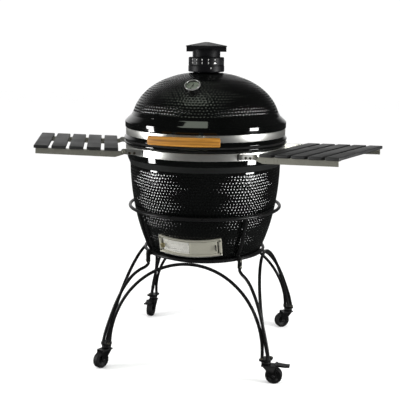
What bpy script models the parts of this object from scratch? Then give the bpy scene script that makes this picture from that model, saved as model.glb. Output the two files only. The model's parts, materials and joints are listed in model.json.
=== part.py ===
"""Kamado ceramic grill on a wheeled rod stand, built as an assembly of separate parts.

Metres, +Z up, front of the grill towards -Y. An azimuth is measured round the vertical
axis of the grill from the front (-Y) towards the right (+X).
"""
from math import acos, atan2, cos, degrees, pi, radians, sin, sqrt, tan

import bmesh
import bpy
from mathutils import Matrix, Vector

# ---------------------------------------------------------------- driving dimensions
GAP = 0.0003                    # clearance between touching pieces
AXIS_Y = 0.01416                # grill axis, so that the whole stands centred on the origin
TURNS = 36                      # facets round the large turned parts

# Ceramic base
BASE_R = 0.285                  # widest radius of the bowl
BASE_MID_Z = 0.754              # height of that radius
BASE_DEPTH = 0.528              # vertical half axis of the bowl's curve
BASE_POWER = 2.05               # 2 is an ellipse
BASE_WALL = 0.022
FOOT_Z = 0.388
FOOT_R = 0.196
CHAMFER_Z = 0.737
RIM_R = 0.307
RIM_INNER_R = 0.272
BASE_TOP_Z = 0.8225

# Ceramic dome
DOME_R = 0.2798
DOME_MID_Z = 0.8768
DOME_RISE = 0.1987
DOME_POWER = 2.169
DOME_WALL = 0.022
DOME_LOW_Z = 0.8292
NECK_R = 0.046

# Cooking rack
RACK_R = 0.2585
RACK_HOOP_R = 0.004
RACK_WIRE_R = 0.0028
RACK_HINGE_Y = -0.060           # line on which the front of the rack folds up

# Steel bands
BAND_THICK = 0.0022
LOWER_BAND_R = 0.298
LOWER_BAND_Z = (0.7804, 0.8068)
UPPER_BAND_R = 0.3005
UPPER_BAND_Z = (0.8457, 0.8710)

# Lid hinge
HINGE_Y = 0.343
HINGE_Z = 0.838
PIN_R = 0.005

# Handle
HANDLE_R = (0.334, 0.356)
HANDLE_Z = 0.853
HANDLE_HEIGHT = 0.031
HANDLE_SPAN = 21.4              # half angle, degrees
HANDLE_BRACKETS = 10.0          # azimuth of the brackets, degrees

# Thermometer
THERMO_R = 0.200                # distance of its foot from the grill axis
THERMO_BEZEL_R = 0.0285
THERMO_HEIGHT = 0.0205
NEEDLE_COLD = 200.0             # clockwise from the top of the dial, degrees

# Chimney vent
VENT_FOOT_Z = 1.0765
VENT_R = 0.0672
VENT_SPLIT_Z = 1.1000
VENT_RING_TOP_Z = 1.1300
SLEEVE_R = 0.0517
SLEEVE_TOP_Z = 1.1665
HOOD_HALF = 0.0750
HOOD_FEET_Z = 1.1504
HOOD_EAVE_Z = 1.1716
HOOD_ARCH = (0.049, 0.0120)     # half width and height of the arch in each side
HOOD_PEAK_Z = 1.1850
HOOD_TURN = 13.0                # degrees away from square

# Draft door
DRAFT_Z = 0.458                 # height of its middle on the bowl
DRAFT_FRAME = (0.2545, 0.2625)
DRAFT_SCREEN = (0.2565, 0.2577)
DRAFT_PANEL = (0.2583, 0.2597)
DRAFT_HALF = 26.5

# Stand
ROD_R = 0.006
TOP_RING = (0.2865, 0.572)
LOW_RING = (0.2280, 0.406)
ARCH_HALF = 0.285
ARCH_TOP = (0.2345, 0.3935)
ARCH_FOOT_OUT = 0.302
LEG_R = 0.4225                  # distance of each caster from the grill axis
PLATE_Z = 0.0904
WHEEL_R = 0.0305
TRAIL = 0.0285
BRAKE_PIVOT = (0.0375, 0.0690)  # behind the swivel, above the floor

# Side shelves
SHELF_TURN = 20.0               # how far each shelf points forward of straight sideways
SHELF_TILT = 2.53               # rise towards the outer end, degrees
SHELF_PIVOT = (0.3126, 0.800)   # distance from the grill axis, height
SLAT_START = 0.0196             # from the pivot
SLAT_PITCH = 0.0614
SLAT_WIDTH = 0.0500
SLAT_THICK = 0.011
SLAT_LENGTH = 0.3794
SLAT_TOP = 0.0133
SHELF_SHIFT = 0.0117            # slats sit this far behind the shelf's centre line
ARM_SPREAD = 0.1797             # arm planes from the middle of the slats
ARM_END = 0.309
ARM_HEIGHT = 0.0225
SHEET = 0.0025

CORNERS = {
    "front_left": (-45.0, -27.9),
    "front_right": (45.0, 93.5),
    "rear_right": (135.0, -57.0),
    "rear_left": (-135.0, -3.6),
}                               # azimuth of the leg, direction in which its wheel trails
BRAKED = ("front_right", "rear_left")


# ---------------------------------------------------------------- scene helpers
def clear_scene():
    for item in list(bpy.data.objects):
        bpy.data.objects.remove(item, do_unlink=True)


def new_collection(name):
    group = bpy.data.collections.new(name)
    bpy.context.scene.collection.children.link(group)
    return group


def make_material(name, colour, roughness, metallic=0.0):
    made = bpy.data.materials.new(name)
    made.use_nodes = True
    shader = made.node_tree.nodes["Principled BSDF"]
    shader.inputs["Base Color"].default_value = (*colour, 1.0)
    shader.inputs["Roughness"].default_value = roughness
    shader.inputs["Metallic"].default_value = metallic
    return made


def frame_at(name, location=(0, 0, 0), matrix=None, parent=None):
    """An empty that carries parts; matrix, if given, is its place in its parent's frame."""
    empty = bpy.data.objects.new(name, None)
    PARTS.objects.link(empty)
    empty.parent = parent
    empty.matrix_basis = matrix if matrix is not None else Matrix.Translation(location)
    return empty


def place(name, mesh, material, parent, matrix=None, hidden=False):
    mesh.materials.clear()
    if material is not None:
        mesh.materials.append(material)
    made = bpy.data.objects.new(name, mesh)
    (CUTTERS if hidden else PARTS).objects.link(made)
    made.parent = parent
    if matrix is not None:
        made.matrix_basis = matrix
    if hidden:
        made.hide_render = True
        made.display_type = "WIRE"
    return made


def smooth(mesh, angle=35.0):
    mesh.shade_smooth()
    mesh.set_sharp_from_angle(angle=radians(angle))


def finish_bmesh(shape, name):
    mesh = bpy.data.meshes.new(name)
    shape.to_mesh(mesh)
    shape.free()
    return mesh


# ---------------------------------------------------------------- shapes
def box_mesh(low, high):
    shape = bmesh.new()
    bmesh.ops.create_cube(shape, size=1.0)
    size = [b - a for a, b in zip(low, high)]
    middle = [(a + b) / 2 for a, b in zip(low, high)]
    bmesh.ops.scale(shape, vec=size, verts=shape.verts)
    bmesh.ops.translate(shape, vec=middle, verts=shape.verts)
    return finish_bmesh(shape, "box")


def cylinder_mesh(radius, low, high, sides=24, axis="Z", centre=(0, 0, 0)):
    shape = bmesh.new()
    bmesh.ops.create_cone(
        shape, cap_ends=True, segments=sides, radius1=radius, radius2=radius, depth=high - low
    )
    bmesh.ops.translate(shape, vec=(0, 0, (low + high) / 2), verts=shape.verts)
    turn = {"X": Matrix.Rotation(pi / 2, 3, "Y"), "Y": Matrix.Rotation(-pi / 2, 3, "X")}
    if axis in turn:
        bmesh.ops.rotate(shape, cent=(0, 0, 0), matrix=turn[axis], verts=shape.verts)
    bmesh.ops.translate(shape, vec=centre, verts=shape.verts)
    mesh = finish_bmesh(shape, "cylinder")
    smooth(mesh)
    return mesh


def turned(name, outline, material, parent, closed=True, steps=TURNS, matrix=None, hidden=False):
    """A turned part: (radius, height) points, running down the outer side."""
    mesh = bpy.data.meshes.new(name)
    count = len(outline)
    edges = [(i, i + 1) for i in range(count - 1)]
    if closed:
        edges.append((count - 1, 0))
    mesh.from_pydata([(r, 0.0, z) for r, z in outline], edges, [])
    made = place(name, mesh, material, parent, matrix, hidden)
    screw = made.modifiers.new("turn", "SCREW")
    screw.steps = steps
    screw.render_steps = steps
    screw.use_merge_vertices = True
    screw.merge_threshold = 0.00002
    screw.use_smooth_shade = True
    return made


def from_curve(name, curve, material, parent, matrix=None, hidden=False):
    """Turn curve data into a welded mesh part and drop the curve."""
    guide = bpy.data.objects.new(name + "_curve", curve)
    CUTTERS.objects.link(guide)
    evaluated = guide.evaluated_get(bpy.context.evaluated_depsgraph_get())
    mesh = bpy.data.meshes.new_from_object(evaluated)
    bpy.data.objects.remove(guide, do_unlink=True)
    shape = bmesh.new()
    shape.from_mesh(mesh)
    bmesh.ops.remove_doubles(shape, verts=shape.verts, dist=0.00002)
    bmesh.ops.recalc_face_normals(shape, faces=shape.faces)
    shape.to_mesh(mesh)
    shape.free()
    smooth(mesh)
    return place(name, mesh, material, parent, matrix, hidden)


def rod(name, points, radius, material, parent, hidden=False, loop=False, resolution=1):
    curve = bpy.data.curves.new(name, "CURVE")
    curve.dimensions = "3D"
    curve.bevel_depth = radius
    curve.bevel_resolution = resolution
    curve.use_fill_caps = True
    spline = curve.splines.new("POLY")
    spline.points.add(len(points) - 1)
    for slot, point in zip(spline.points, points):
        slot.co = (*point, 1.0)
    spline.use_cyclic_u = loop
    return from_curve(name, curve, material, parent, None, hidden)


def plate(name, outlines, thickness, material, parent, matrix=None, hidden=False):
    """A flat plate lying in its own XY plane, its middle at z = 0. Inner outlines are holes."""
    curve = bpy.data.curves.new(name, "CURVE")
    curve.dimensions = "2D"
    curve.fill_mode = "BOTH"
    curve.extrude = thickness / 2
    for outline in outlines:
        spline = curve.splines.new("POLY")
        spline.points.add(len(outline) - 1)
        for slot, point in zip(spline.points, outline):
            slot.co = (point[0], point[1], 0.0, 1.0)
        spline.use_cyclic_u = True
    return from_curve(name, curve, material, parent, matrix, hidden)


def arc(centre, radius, start, end, count):
    """Points on an arc, angles in degrees from +X."""
    steps = [radians(start + (end - start) * i / count) for i in range(count + 1)]
    return [(centre[0] + radius * cos(a), centre[1] + radius * sin(a)) for a in steps]


def sector(name, radii, heights, span, material, parent, hidden=False, step=4.0):
    """A curved strip round the Z axis between two azimuths, in degrees from -Y."""
    count = max(1, round((span[1] - span[0]) / step))
    inner = arc((0, 0), radii[0], span[0] - 90, span[1] - 90, count)
    outer = arc((0, 0), radii[1], span[1] - 90, span[0] - 90, count)
    lift = Matrix.Translation((0, 0, (heights[0] + heights[1]) / 2))
    return plate(name, [inner + outer], heights[1] - heights[0], material, parent, lift, hidden)


def boolean(target, tool, operation):
    step = target.modifiers.new(operation.lower(), "BOOLEAN")
    step.operation = operation
    step.object = tool


def unite(target, *tools):
    for tool in tools:
        boolean(target, tool, "UNION")


def cut(target, *tools):
    for tool in tools:
        boolean(target, tool, "DIFFERENCE")


def hidden_box(name, low, high, parent, matrix=None):
    return place(name, box_mesh(low, high), None, parent, matrix, hidden=True)


def hidden_cylinder(name, radius, low, high, parent, axis="Z", centre=(0, 0, 0), sides=20):
    mesh = cylinder_mesh(radius, low, high, sides, axis, centre)
    return place(name, mesh, None, parent, None, hidden=True)


def on_azimuth(azimuth, radius, height=0.0):
    a = radians(azimuth)
    return Vector((radius * sin(a), -radius * cos(a), height))


# ---------------------------------------------------------------- ceramic curves
def bowl_radius(height):
    share = ((BASE_MID_Z - height) / BASE_DEPTH) ** BASE_POWER
    return BASE_R * (1 - share) ** (1 / BASE_POWER)


def dome_point(share, inset=0.0):
    """A point on the dome's curve; share runs from 0 at the shoulder to 1 on the axis."""
    a = share * pi / 2
    radius = (DOME_R - inset) * cos(a) ** (2 / DOME_POWER)
    return radius, DOME_MID_Z + (DOME_RISE - inset) * sin(a) ** (2 / DOME_POWER)


def build_base(root):
    bowl = [0.700, 0.655, 0.605, 0.555, 0.505, 0.460, 0.425, 0.397]
    outer = [
        (RIM_R - 0.003, BASE_TOP_Z), (RIM_R, BASE_TOP_Z - 0.003), (RIM_R - 0.001, 0.8155),
        (0.2955, 0.8074), (0.2955, 0.7770), (0.2915, 0.7590), (0.2855, CHAMFER_Z),
    ]
    outer += [(bowl_radius(z), z) for z in bowl]
    foot = [(FOOT_R, FOOT_Z), (0.0, FOOT_Z)]
    floor_z = FOOT_Z + 0.0258
    inner = [(0.0, floor_z), (bowl_radius(0.43) - 0.032, floor_z)]
    inner += [(bowl_radius(z) - BASE_WALL, z) for z in (0.45, 0.53, 0.63, 0.73)]
    inner += [(RIM_INNER_R, 0.78), (RIM_INNER_R, BASE_TOP_Z)]
    shell = turned("base_shell", inner + outer + foot, GLAZE, root, closed=False)
    opening = hidden_box("draft_cutter", (-0.084, -0.30, -0.022), (-0.006, -0.17, 0.022), DRAFT)
    cut(shell, opening)

    bowl_cup = [
        (0.0, 0.4365), (0.160, 0.4365), (0.160, 0.500), (0.178, 0.500), (0.205, 0.580),
        (0.218, 0.690), (0.240, 0.690), (0.238, 0.600), (0.213, 0.500), (0.184, floor_z + GAP),
        (0.0, floor_z + GAP),
    ]
    firebox = turned("firebox", bowl_cup, FIRECLAY, root, closed=False)
    ash_door = hidden_box("ash_cutter", (-0.090, -0.26, 0.4365), (0.090, -0.12, 0.492), root)
    cut(firebox, ash_door)
    ring = [(0.250, 0.785), (0.250, 0.6903), (0.220, 0.6903), (0.224, 0.785)]
    turned("fire_ring", ring, FIRECLAY, root)


def build_grates(root):
    grate = place(
        "charcoal_grate", cylinder_mesh(0.1765, 0.5003, 0.5103, TURNS), CAST_IRON, root
    )
    for i in range(-3, 4):
        reach = sqrt(0.150 ** 2 - (i * 0.040) ** 2)
        slot = hidden_box(
            f"grate_slot_{i + 3}", (i * 0.040 - 0.007, -reach, 0.49), (i * 0.040 + 0.007, reach, 0.52),
            root,
        )
        cut(grate, slot)

    # The rack's rear part lies still; its front part is a flap that folds up to reach the fire
    hinge_y, gap_y = RACK_HINGE_Y, 0.012
    height = RACK_HOOP_R + 0.7853
    reach = RACK_R - RACK_HOOP_R
    split = degrees(acos(-hinge_y / reach))
    flap_split = degrees(acos((gap_y - hinge_y) / reach))
    back = [on_azimuth(split + i * (360 - 2 * split) / 26, reach, height) for i in range(27)]
    front = [on_azimuth(flap_split * (i / 8 - 1), reach, height) for i in range(17)]
    rack = rod("cooking_grate", back, RACK_HOOP_R, STEEL, root)
    turn_up = Matrix.Translation((0, -hinge_y, -height))
    lowered = [turn_up @ point for point in front]
    flap = rod("rack_flap", lowered, RACK_HOOP_R, STEEL, FLAP)
    for owner, parent, start, shift in ((rack, root, hinge_y, (0, 0, 0)),
                                        (flap, FLAP, hinge_y - gap_y, (0, -hinge_y, -height))):
        half = sqrt(reach ** 2 - start ** 2) - 0.001
        edge = [Vector((x, start, height)) + Vector(shift) for x in (-half, half)]
        unite(owner, rod("rack_cross", edge, RACK_WIRE_R, None, parent, hidden=True))
        for i in range(-8, 9):
            x = i * 0.028
            end = sqrt(reach ** 2 - x ** 2) - 0.001
            ends = (start, end) if owner is rack else (-end, start)
            if ends[1] - ends[0] > 0.012:
                bar = [Vector((x, y, height)) + Vector(shift) for y in ends]
                unite(owner, rod("rack_bar", bar, RACK_WIRE_R, None, parent, hidden=True))
    for x in (-0.098, 0.098):
        outer = cylinder_mesh(0.0050, x - 0.005, x + 0.005, 16, "X")
        eye = place("flap_eye", outer, None, FLAP, hidden=True)
        link = hidden_box("flap_link", (x - 0.003, -gap_y, -0.0020), (x + 0.003, -0.0040, 0.0020), FLAP)
        bore = hidden_cylinder("flap_bore", RACK_WIRE_R + GAP, x - 0.006, x + 0.006, FLAP, "X", sides=16)
        unite(flap, link, eye)
        cut(flap, bore)


def build_seals_and_bands(root, lid):
    for name, low, high, owner in (
        ("base_gasket", BASE_TOP_Z + GAP, 0.8258, root), ("dome_gasket", 0.8261, 0.8289, lid)
    ):
        turned(name, [(0.3035, high), (0.3035, low), (0.274, low), (0.274, high)], FELT, owner)
    for name, radius, (low, high), owner in (
        ("lower_band", LOWER_BAND_R, LOWER_BAND_Z, root),
        ("upper_band", UPPER_BAND_R, UPPER_BAND_Z, lid),
    ):
        inner = radius - BAND_THICK
        strip = [(radius, high), (radius, low), (inner, low), (inner, high)]
        turned(name, strip, POLISHED, owner)


# ---------------------------------------------------------------- lid
def build_dome(lid):
    seat = UPPER_BAND_R - BAND_THICK - GAP
    shares = [0.90, 0.82, 0.72, 0.61, 0.50, 0.39, 0.28, 0.19]
    outer = [(NECK_R, 1.0742)] + [dome_point(s) for s in shares]
    shoulder = [
        (0.2795, 0.9175), (0.3000, 0.8990), (0.3030, 0.8950), (0.3025, 0.8725),
        (seat, 0.8722), (seat, 0.8440), (RIM_R, 0.8345), (RIM_R, 0.8320),
        (RIM_R - 0.003, DOME_LOW_Z),
    ]
    inner = [(RIM_INNER_R, DOME_LOW_Z), (0.268, 0.875)]
    inner += [dome_point(s, DOME_WALL) for s in (0.15, 0.32, 0.50, 0.68, 0.82)]
    inner += [(NECK_R, 1.0530)]
    shell = turned("dome_shell", outer + shoulder + inner, GLAZE, lid)
    stem_hole = hidden_cylinder("stem_cutter", 0.0045, -0.06, 0.03, THERMO, sides=16)
    cut(shell, stem_hole)


def thermometer_frame(lid):
    """A frame on the dome's outer surface, its Z axis along the surface normal."""
    share = (THERMO_R / DOME_R) ** DOME_POWER
    rise = (1 - share) ** (1 / DOME_POWER)
    out = THERMO_R ** (DOME_POWER - 1) / DOME_R ** DOME_POWER
    up = rise ** (DOME_POWER - 1) / DOME_RISE
    lean = atan2(out, up)
    foot = (0.0, -THERMO_R, DOME_MID_Z + DOME_RISE * rise)
    matrix = Matrix.Translation(foot) @ Matrix.Rotation(lean, 4, "X")
    return frame_at("thermometer_axis", matrix=matrix, parent=lid)


def build_thermometer():
    top = THERMO_HEIGHT
    case = [
        (0.0, 0.0125), (0.0243, 0.0125), (0.0243, top), (0.0270, top), (THERMO_BEZEL_R, top - 0.0015),
        (THERMO_BEZEL_R, 0.0150), (0.0260, 0.0125), (0.0130, 0.0020), (0.0032, 0.0014),
        (0.0032, -0.065), (0.0, -0.067),
    ]
    turned("thermometer_case", case, POLISHED, THERMO, closed=False, steps=24)
    hub = cylinder_mesh(0.0022, 0.0133, 0.0152, 12)
    turn = Matrix.Rotation(radians(-NEEDLE_COLD), 4, "Z")
    needle = place("thermometer_needle", hub, POINTER_BLACK, THERMO, turn)
    pointer = [(-0.0012, -0.006), (0.0012, -0.006), (0.0003, 0.019), (-0.0003, 0.019)]
    lift = Matrix.Translation((0, 0, 0.0143))
    blade = plate("needle_blade", [pointer], 0.0007, None, THERMO, turn @ lift, hidden=True)
    unite(needle, blade)
    lens = [(0.0, 0.0188), (0.0240, 0.0184), (0.0240, 0.0168), (0.0, 0.0168)]
    turned("thermometer_lens", lens, GLASS, THERMO, closed=False, steps=24)


def build_handle(lid):
    low = HANDLE_Z - HANDLE_HEIGHT / 2
    high = HANDLE_Z + HANDLE_HEIGHT / 2
    bar = sector("handle_bar", HANDLE_R, (low, high), (-HANDLE_SPAN, HANDLE_SPAN), WOOD, lid)
    soften = bar.modifiers.new("soften", "BEVEL")
    soften.width = 0.0045
    soften.segments = 1
    soften.limit_method = "ANGLE"
    for side, azimuth in (("left", -HANDLE_BRACKETS), ("right", HANDLE_BRACKETS)):
        post = frame_at(f"handle_{side}_frame", matrix=Matrix.Rotation(radians(azimuth), 4, "Z"),
                        parent=lid)
        start = -UPPER_BAND_R - 0.0006
        pad = box_mesh((-0.014, start - 0.0028, UPPER_BAND_Z[0]), (0.014, start, UPPER_BAND_Z[1]))
        bracket = place(f"handle_bracket_{side}", pad, POLISHED, post)
        reach = -HANDLE_R[0] + 0.0010
        arm = hidden_box("handle_arm", (-0.009, reach, high - 0.018), (0.009, start - 0.001, high),
                         post)
        tab = hidden_box("handle_tab", (-0.009, -HANDLE_R[1] + 0.007, high + GAP),
                         (0.009, start - 0.001, high + 0.0028), post)
        unite(bracket, arm, tab)


# ---------------------------------------------------------------- chimney vent
def build_vent(lid, vent_top):
    body = [
        (VENT_R - 0.0012, VENT_SPLIT_Z - GAP), (VENT_R, VENT_SPLIT_Z - 0.0015),
        (VENT_R, VENT_FOOT_Z + 0.0010), (VENT_R - 0.0020, VENT_FOOT_Z - 0.0005),
        (0.0560, 1.0752), (NECK_R - 0.001, 1.0752), (NECK_R - 0.001, 1.0560),
        (NECK_R - 0.005, 1.0560), (NECK_R - 0.005, VENT_SPLIT_Z + 0.034),
        (NECK_R - 0.001, VENT_SPLIT_Z + 0.034), (NECK_R - 0.001, VENT_SPLIT_Z - GAP),
    ]
    turned("vent_body", body, VENT_BLACK, lid, steps=28)
    ring = [
        (VENT_R - 0.0035, VENT_RING_TOP_Z), (VENT_R - 0.0018, VENT_RING_TOP_Z - 0.0015),
        (VENT_R - 0.0012, VENT_SPLIT_Z + GAP), (NECK_R, VENT_SPLIT_Z + GAP),
        (NECK_R, SLEEVE_TOP_Z), (SLEEVE_R, SLEEVE_TOP_Z), (SLEEVE_R, VENT_RING_TOP_Z),
    ]
    turned("vent_ring", ring, VENT_BLACK, vent_top, steps=28)

    hood = frame_at("vent_hood_frame", matrix=Matrix.Rotation(radians(HOOD_TURN), 4, "Z"),
                    parent=vent_top)
    cap = place("vent_cap", pyramid_mesh(HOOD_HALF, HOOD_EAVE_Z - 0.003, HOOD_PEAK_Z), VENT_BLACK,
                hood)
    hollow = place("hood_hollow", pyramid_mesh(HOOD_HALF - 0.008, HOOD_EAVE_Z - 0.0045,
                                               HOOD_PEAK_Z - 0.004), None, hood, None, True)
    skirt_half = HOOD_HALF - 0.0022
    skirt = hidden_box("hood_skirt", (-skirt_half, -skirt_half, HOOD_FEET_Z),
                       (skirt_half, skirt_half, HOOD_EAVE_Z - 0.002), hood)
    inside = skirt_half - 0.004
    core = hidden_box("hood_core", (-inside, -inside, HOOD_FEET_Z - 0.01),
                      (inside, inside, HOOD_EAVE_Z + 0.01), hood)
    cut(skirt, core)
    for axis, along in (("X", 0), ("Y", 1)):
        arch = hidden_cylinder(f"hood_arch_{along}", 1.0, -0.1, 0.1, hood, axis, sides=24)
        half, rise = HOOD_ARCH
        wide = (1.0, half, rise) if axis == "X" else (half, 1.0, rise)
        arch.matrix_basis = Matrix.Translation((0, 0, HOOD_FEET_Z)) @ Matrix.Diagonal((*wide, 1.0))
        cut(skirt, arch)
    cut(cap, hollow)
    unite(cap, skirt)
    for i in range(4):
        turn = Matrix.Rotation(radians(45 + 90 * i), 4, "Z")
        web = hidden_box(f"hood_web_{i}", (SLEEVE_R + GAP * 2, -0.002, HOOD_EAVE_Z - 0.014),
                         (0.096, 0.002, HOOD_EAVE_Z - 0.0015), hood, turn)
        unite(cap, web)


def pyramid_mesh(half, low, high):
    shape = bmesh.new()
    tip = 0.010
    bmesh.ops.create_cone(shape, cap_ends=True, segments=4, radius1=half * sqrt(2),
                          radius2=tip, depth=high - low - 0.003)
    bmesh.ops.rotate(shape, cent=(0, 0, 0), matrix=Matrix.Rotation(pi / 4, 3, "Z"),
                     verts=shape.verts)
    bmesh.ops.translate(shape, vec=(0, 0, (low + high + 0.003) / 2), verts=shape.verts)
    under = [f for f in shape.faces if f.normal.z < -0.5]
    lip = bmesh.ops.extrude_face_region(shape, geom=under)["geom"]
    bmesh.ops.delete(shape, geom=under, context="FACES")
    moved = [v for v in lip if isinstance(v, bmesh.types.BMVert)]
    bmesh.ops.translate(shape, vec=(0, 0, -0.003), verts=moved)
    bmesh.ops.recalc_face_normals(shape, faces=shape.faces)
    return finish_bmesh(shape, "pyramid")


# ---------------------------------------------------------------- hinge
def build_hinge(root, lid):
    """Two brackets that share one pin behind the grill; side plates lie in YZ planes."""
    upright = Matrix.Rotation(pi / 2, 4, "Z") @ Matrix.Rotation(pi / 2, 4, "X")
    eye = (HINGE_Y, HINGE_Z)
    lower_side = [(0.3250, LOWER_BAND_Z[0] + 0.002)] + arc(eye, 0.010, -30, 160, 12)
    lower_side += [(0.3125, 0.8080)]
    upper_side = arc(eye, 0.010, -120, 60, 12)
    for name, parent, radius, (low, high), side, x, material in (
        ("hinge_lower_bracket", root, LOWER_BAND_R, LOWER_BAND_Z, lower_side, 0.0450, STEEL),
        ("hinge_upper_bracket", lid, UPPER_BAND_R, UPPER_BAND_Z, upper_side, 0.0515, STEEL),
    ):
        start = sqrt((radius + 0.0019) ** 2 - x ** 2)
        side = [(start, low + 0.002)] + side + [(start, high - 0.002)]
        radii = (radius + GAP, radius + 0.0035)
        bracket = sector(name, radii, (low + 0.001, high - 0.001), (168, 192), material, parent)
        for sign in (-1, 1):
            shift = Matrix.Translation((sign * x, 0, 0))
            ear = plate("hinge_ear", [side], 0.004, None, parent, shift @ upright, hidden=True)
            unite(bracket, ear)
        bore = hidden_cylinder("hinge_bore", PIN_R + GAP, -0.07, 0.07, parent, "X",
                               (0, HINGE_Y, HINGE_Z))
        cut(bracket, bore)
    pin = cylinder_mesh(PIN_R, -0.060, 0.060, 20, "X", (0, HINGE_Y, HINGE_Z))
    place("hinge_pin", pin, STEEL, root)
    turns, per_turn, length = 8, 8, 0.078
    coil = []
    for i in range(turns * per_turn + 1):
        a = 2 * pi * i / per_turn
        x = length * (i / (turns * per_turn) - 0.5)
        coil.append((x, HINGE_Y + 0.0078 * cos(a), HINGE_Z + 0.0078 * sin(a)))
    rod("hinge_spring", coil, 0.0015, STEEL, root)


# ---------------------------------------------------------------- draft door
def draft_frame(root):
    """A frame where the bowl's surface normal meets the grill axis, leaning with the bowl."""
    step = 0.01
    slope = (bowl_radius(DRAFT_Z + step) - bowl_radius(DRAFT_Z - step)) / (2 * step)
    lean = atan2(slope, 1.0)
    height = DRAFT_Z + bowl_radius(DRAFT_Z) * tan(lean)
    matrix = Matrix.Translation((0, 0, height)) @ Matrix.Rotation(lean, 4, "X")
    return frame_at("draft_axis", matrix=matrix, parent=root)


def build_draft_door():
    half = DRAFT_HALF
    frame = sector("draft_frame", DRAFT_FRAME, (-0.0355, 0.0335), (-half, half), STEEL, DRAFT)
    window = sector("draft_window", (0.20, 0.30), (-0.0262, 0.0262), (2.5 - half, half - 2.5),
                    None, DRAFT, hidden=True)
    cut(frame, window)
    panel = sector("draft_panel", DRAFT_PANEL, (-0.0258, 0.0258), (0.5, 23.0), STEEL, DRAFT)
    pull_turn = Matrix.Rotation(radians(21.5), 4, "Z")
    pull = hidden_box("panel_pull", (-0.002, -0.2690, -0.011), (0.002, -0.2585, 0.011), DRAFT,
                      pull_turn)
    unite(panel, pull)
    screen = sector("draft_screen", DRAFT_SCREEN, (-0.0258, 0.0258), (-23.0, 0.2), STEEL, DRAFT)
    knob_turn = Matrix.Rotation(radians(-21.8), 4, "Z")
    for name, radius, near, far in (("knob_stem", 0.003, 0.2568, 0.2650),
                                    ("knob_head", 0.0095, 0.2645, 0.2725)):
        mesh = cylinder_mesh(radius, -far, -near, 20, "Y")
        unite(screen, place(name, mesh, None, DRAFT, knob_turn, hidden=True))


# ---------------------------------------------------------------- stand
def build_cradle(root):
    top_r, top_z = TOP_RING
    low_r, low_z = LOW_RING
    ring = [on_azimuth(i * 360 / TURNS, top_r, top_z) for i in range(TURNS)]
    cradle = rod("cradle", ring, ROD_R, PAINT, root, loop=True)
    low_ring = [on_azimuth(i * 360 / TURNS, low_r, low_z) for i in range(TURNS)]
    unite(cradle, rod("cradle_low_ring", low_ring, ROD_R, None, root, hidden=True, loop=True))
    for corner, (azimuth, _) in CORNERS.items():
        path = [on_azimuth(azimuth, top_r, top_z)]
        for height in (0.54, 0.51, 0.48, 0.45, 0.425):
            path.append(on_azimuth(azimuth, bowl_radius(height) + 0.0125, height))
        path.append(on_azimuth(azimuth, 0.2465, 0.415))
        path.append(on_azimuth(azimuth, 0.2465, 0.400))
        upright = rod(f"cradle_upright_{corner}", path, ROD_R, None, root, hidden=True)
        socket = hidden_cylinder(f"cradle_socket_{corner}", 0.0082, 0.3755, 0.415, root,
                                 centre=on_azimuth(azimuth, 0.2465), sides=16)
        tie = hidden_box(f"cradle_tie_{corner}", (-0.005, -0.2465, low_z - 0.005),
                         (0.005, -low_r, low_z + 0.005), root,
                         Matrix.Rotation(radians(azimuth), 4, "Z"))
        unite(cradle, upright, socket, tie)


def build_arches(root):
    """Four bent rods, each a half ellipse between two neighbouring casters."""
    top_out, top_z = ARCH_TOP
    low_z = PLATE_Z + 0.0018        # the sloping rod end clears the plate
    count = 22
    for i, name in enumerate(("front", "right", "rear", "left")):
        turn = Matrix.Rotation(radians(90 * i), 3, "Z")
        path = []
        for k in range(count + 1):
            a = -pi / 2 + pi * k / count
            out = ARCH_FOOT_OUT - (ARCH_FOOT_OUT - top_out) * cos(a)
            path.append(turn @ Vector((ARCH_HALF * sin(a), -out, low_z + (top_z - low_z) * cos(a))))
        rod(f"stand_arch_{name}", path, ROD_R, PAINT, root)


def build_legs(root):
    bend = [(0.2465, 0.3751), (0.2465, 0.3680), (0.2560, 0.3590), (0.2820, 0.3490),
            (0.3100, 0.3330), (0.3350, 0.3080), (0.3570, 0.2790), (0.3770, 0.2450),
            (0.3960, 0.2050), (0.4130, 0.1650), (0.4260, 0.1300), (0.4370, PLATE_Z - 0.001)]
    for corner, (azimuth, _) in CORNERS.items():
        path = [on_azimuth(azimuth, r, z) for r, z in bend]
        leg = rod(f"stand_leg_{corner}", path, ROD_R, PAINT, root)
        spot = on_azimuth(azimuth, LEG_R)
        turn = Matrix.Translation(spot) @ Matrix.Rotation(radians(azimuth), 4, "Z")
        outline = arc((0.020, 0), 0.009, -70, 70, 6) + arc((0, 0), 0.0205, 55, 125, 5)
        outline += arc((-0.020, 0), 0.009, 110, 250, 6) + arc((0, 0), 0.0205, 235, 305, 5)
        lift = turn @ Matrix.Translation((0, 0, PLATE_Z - 0.0030))
        foot = plate(f"leg_plate_{corner}", [outline], 0.006, None, root, lift, hidden=True)
        unite(leg, foot)


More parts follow.
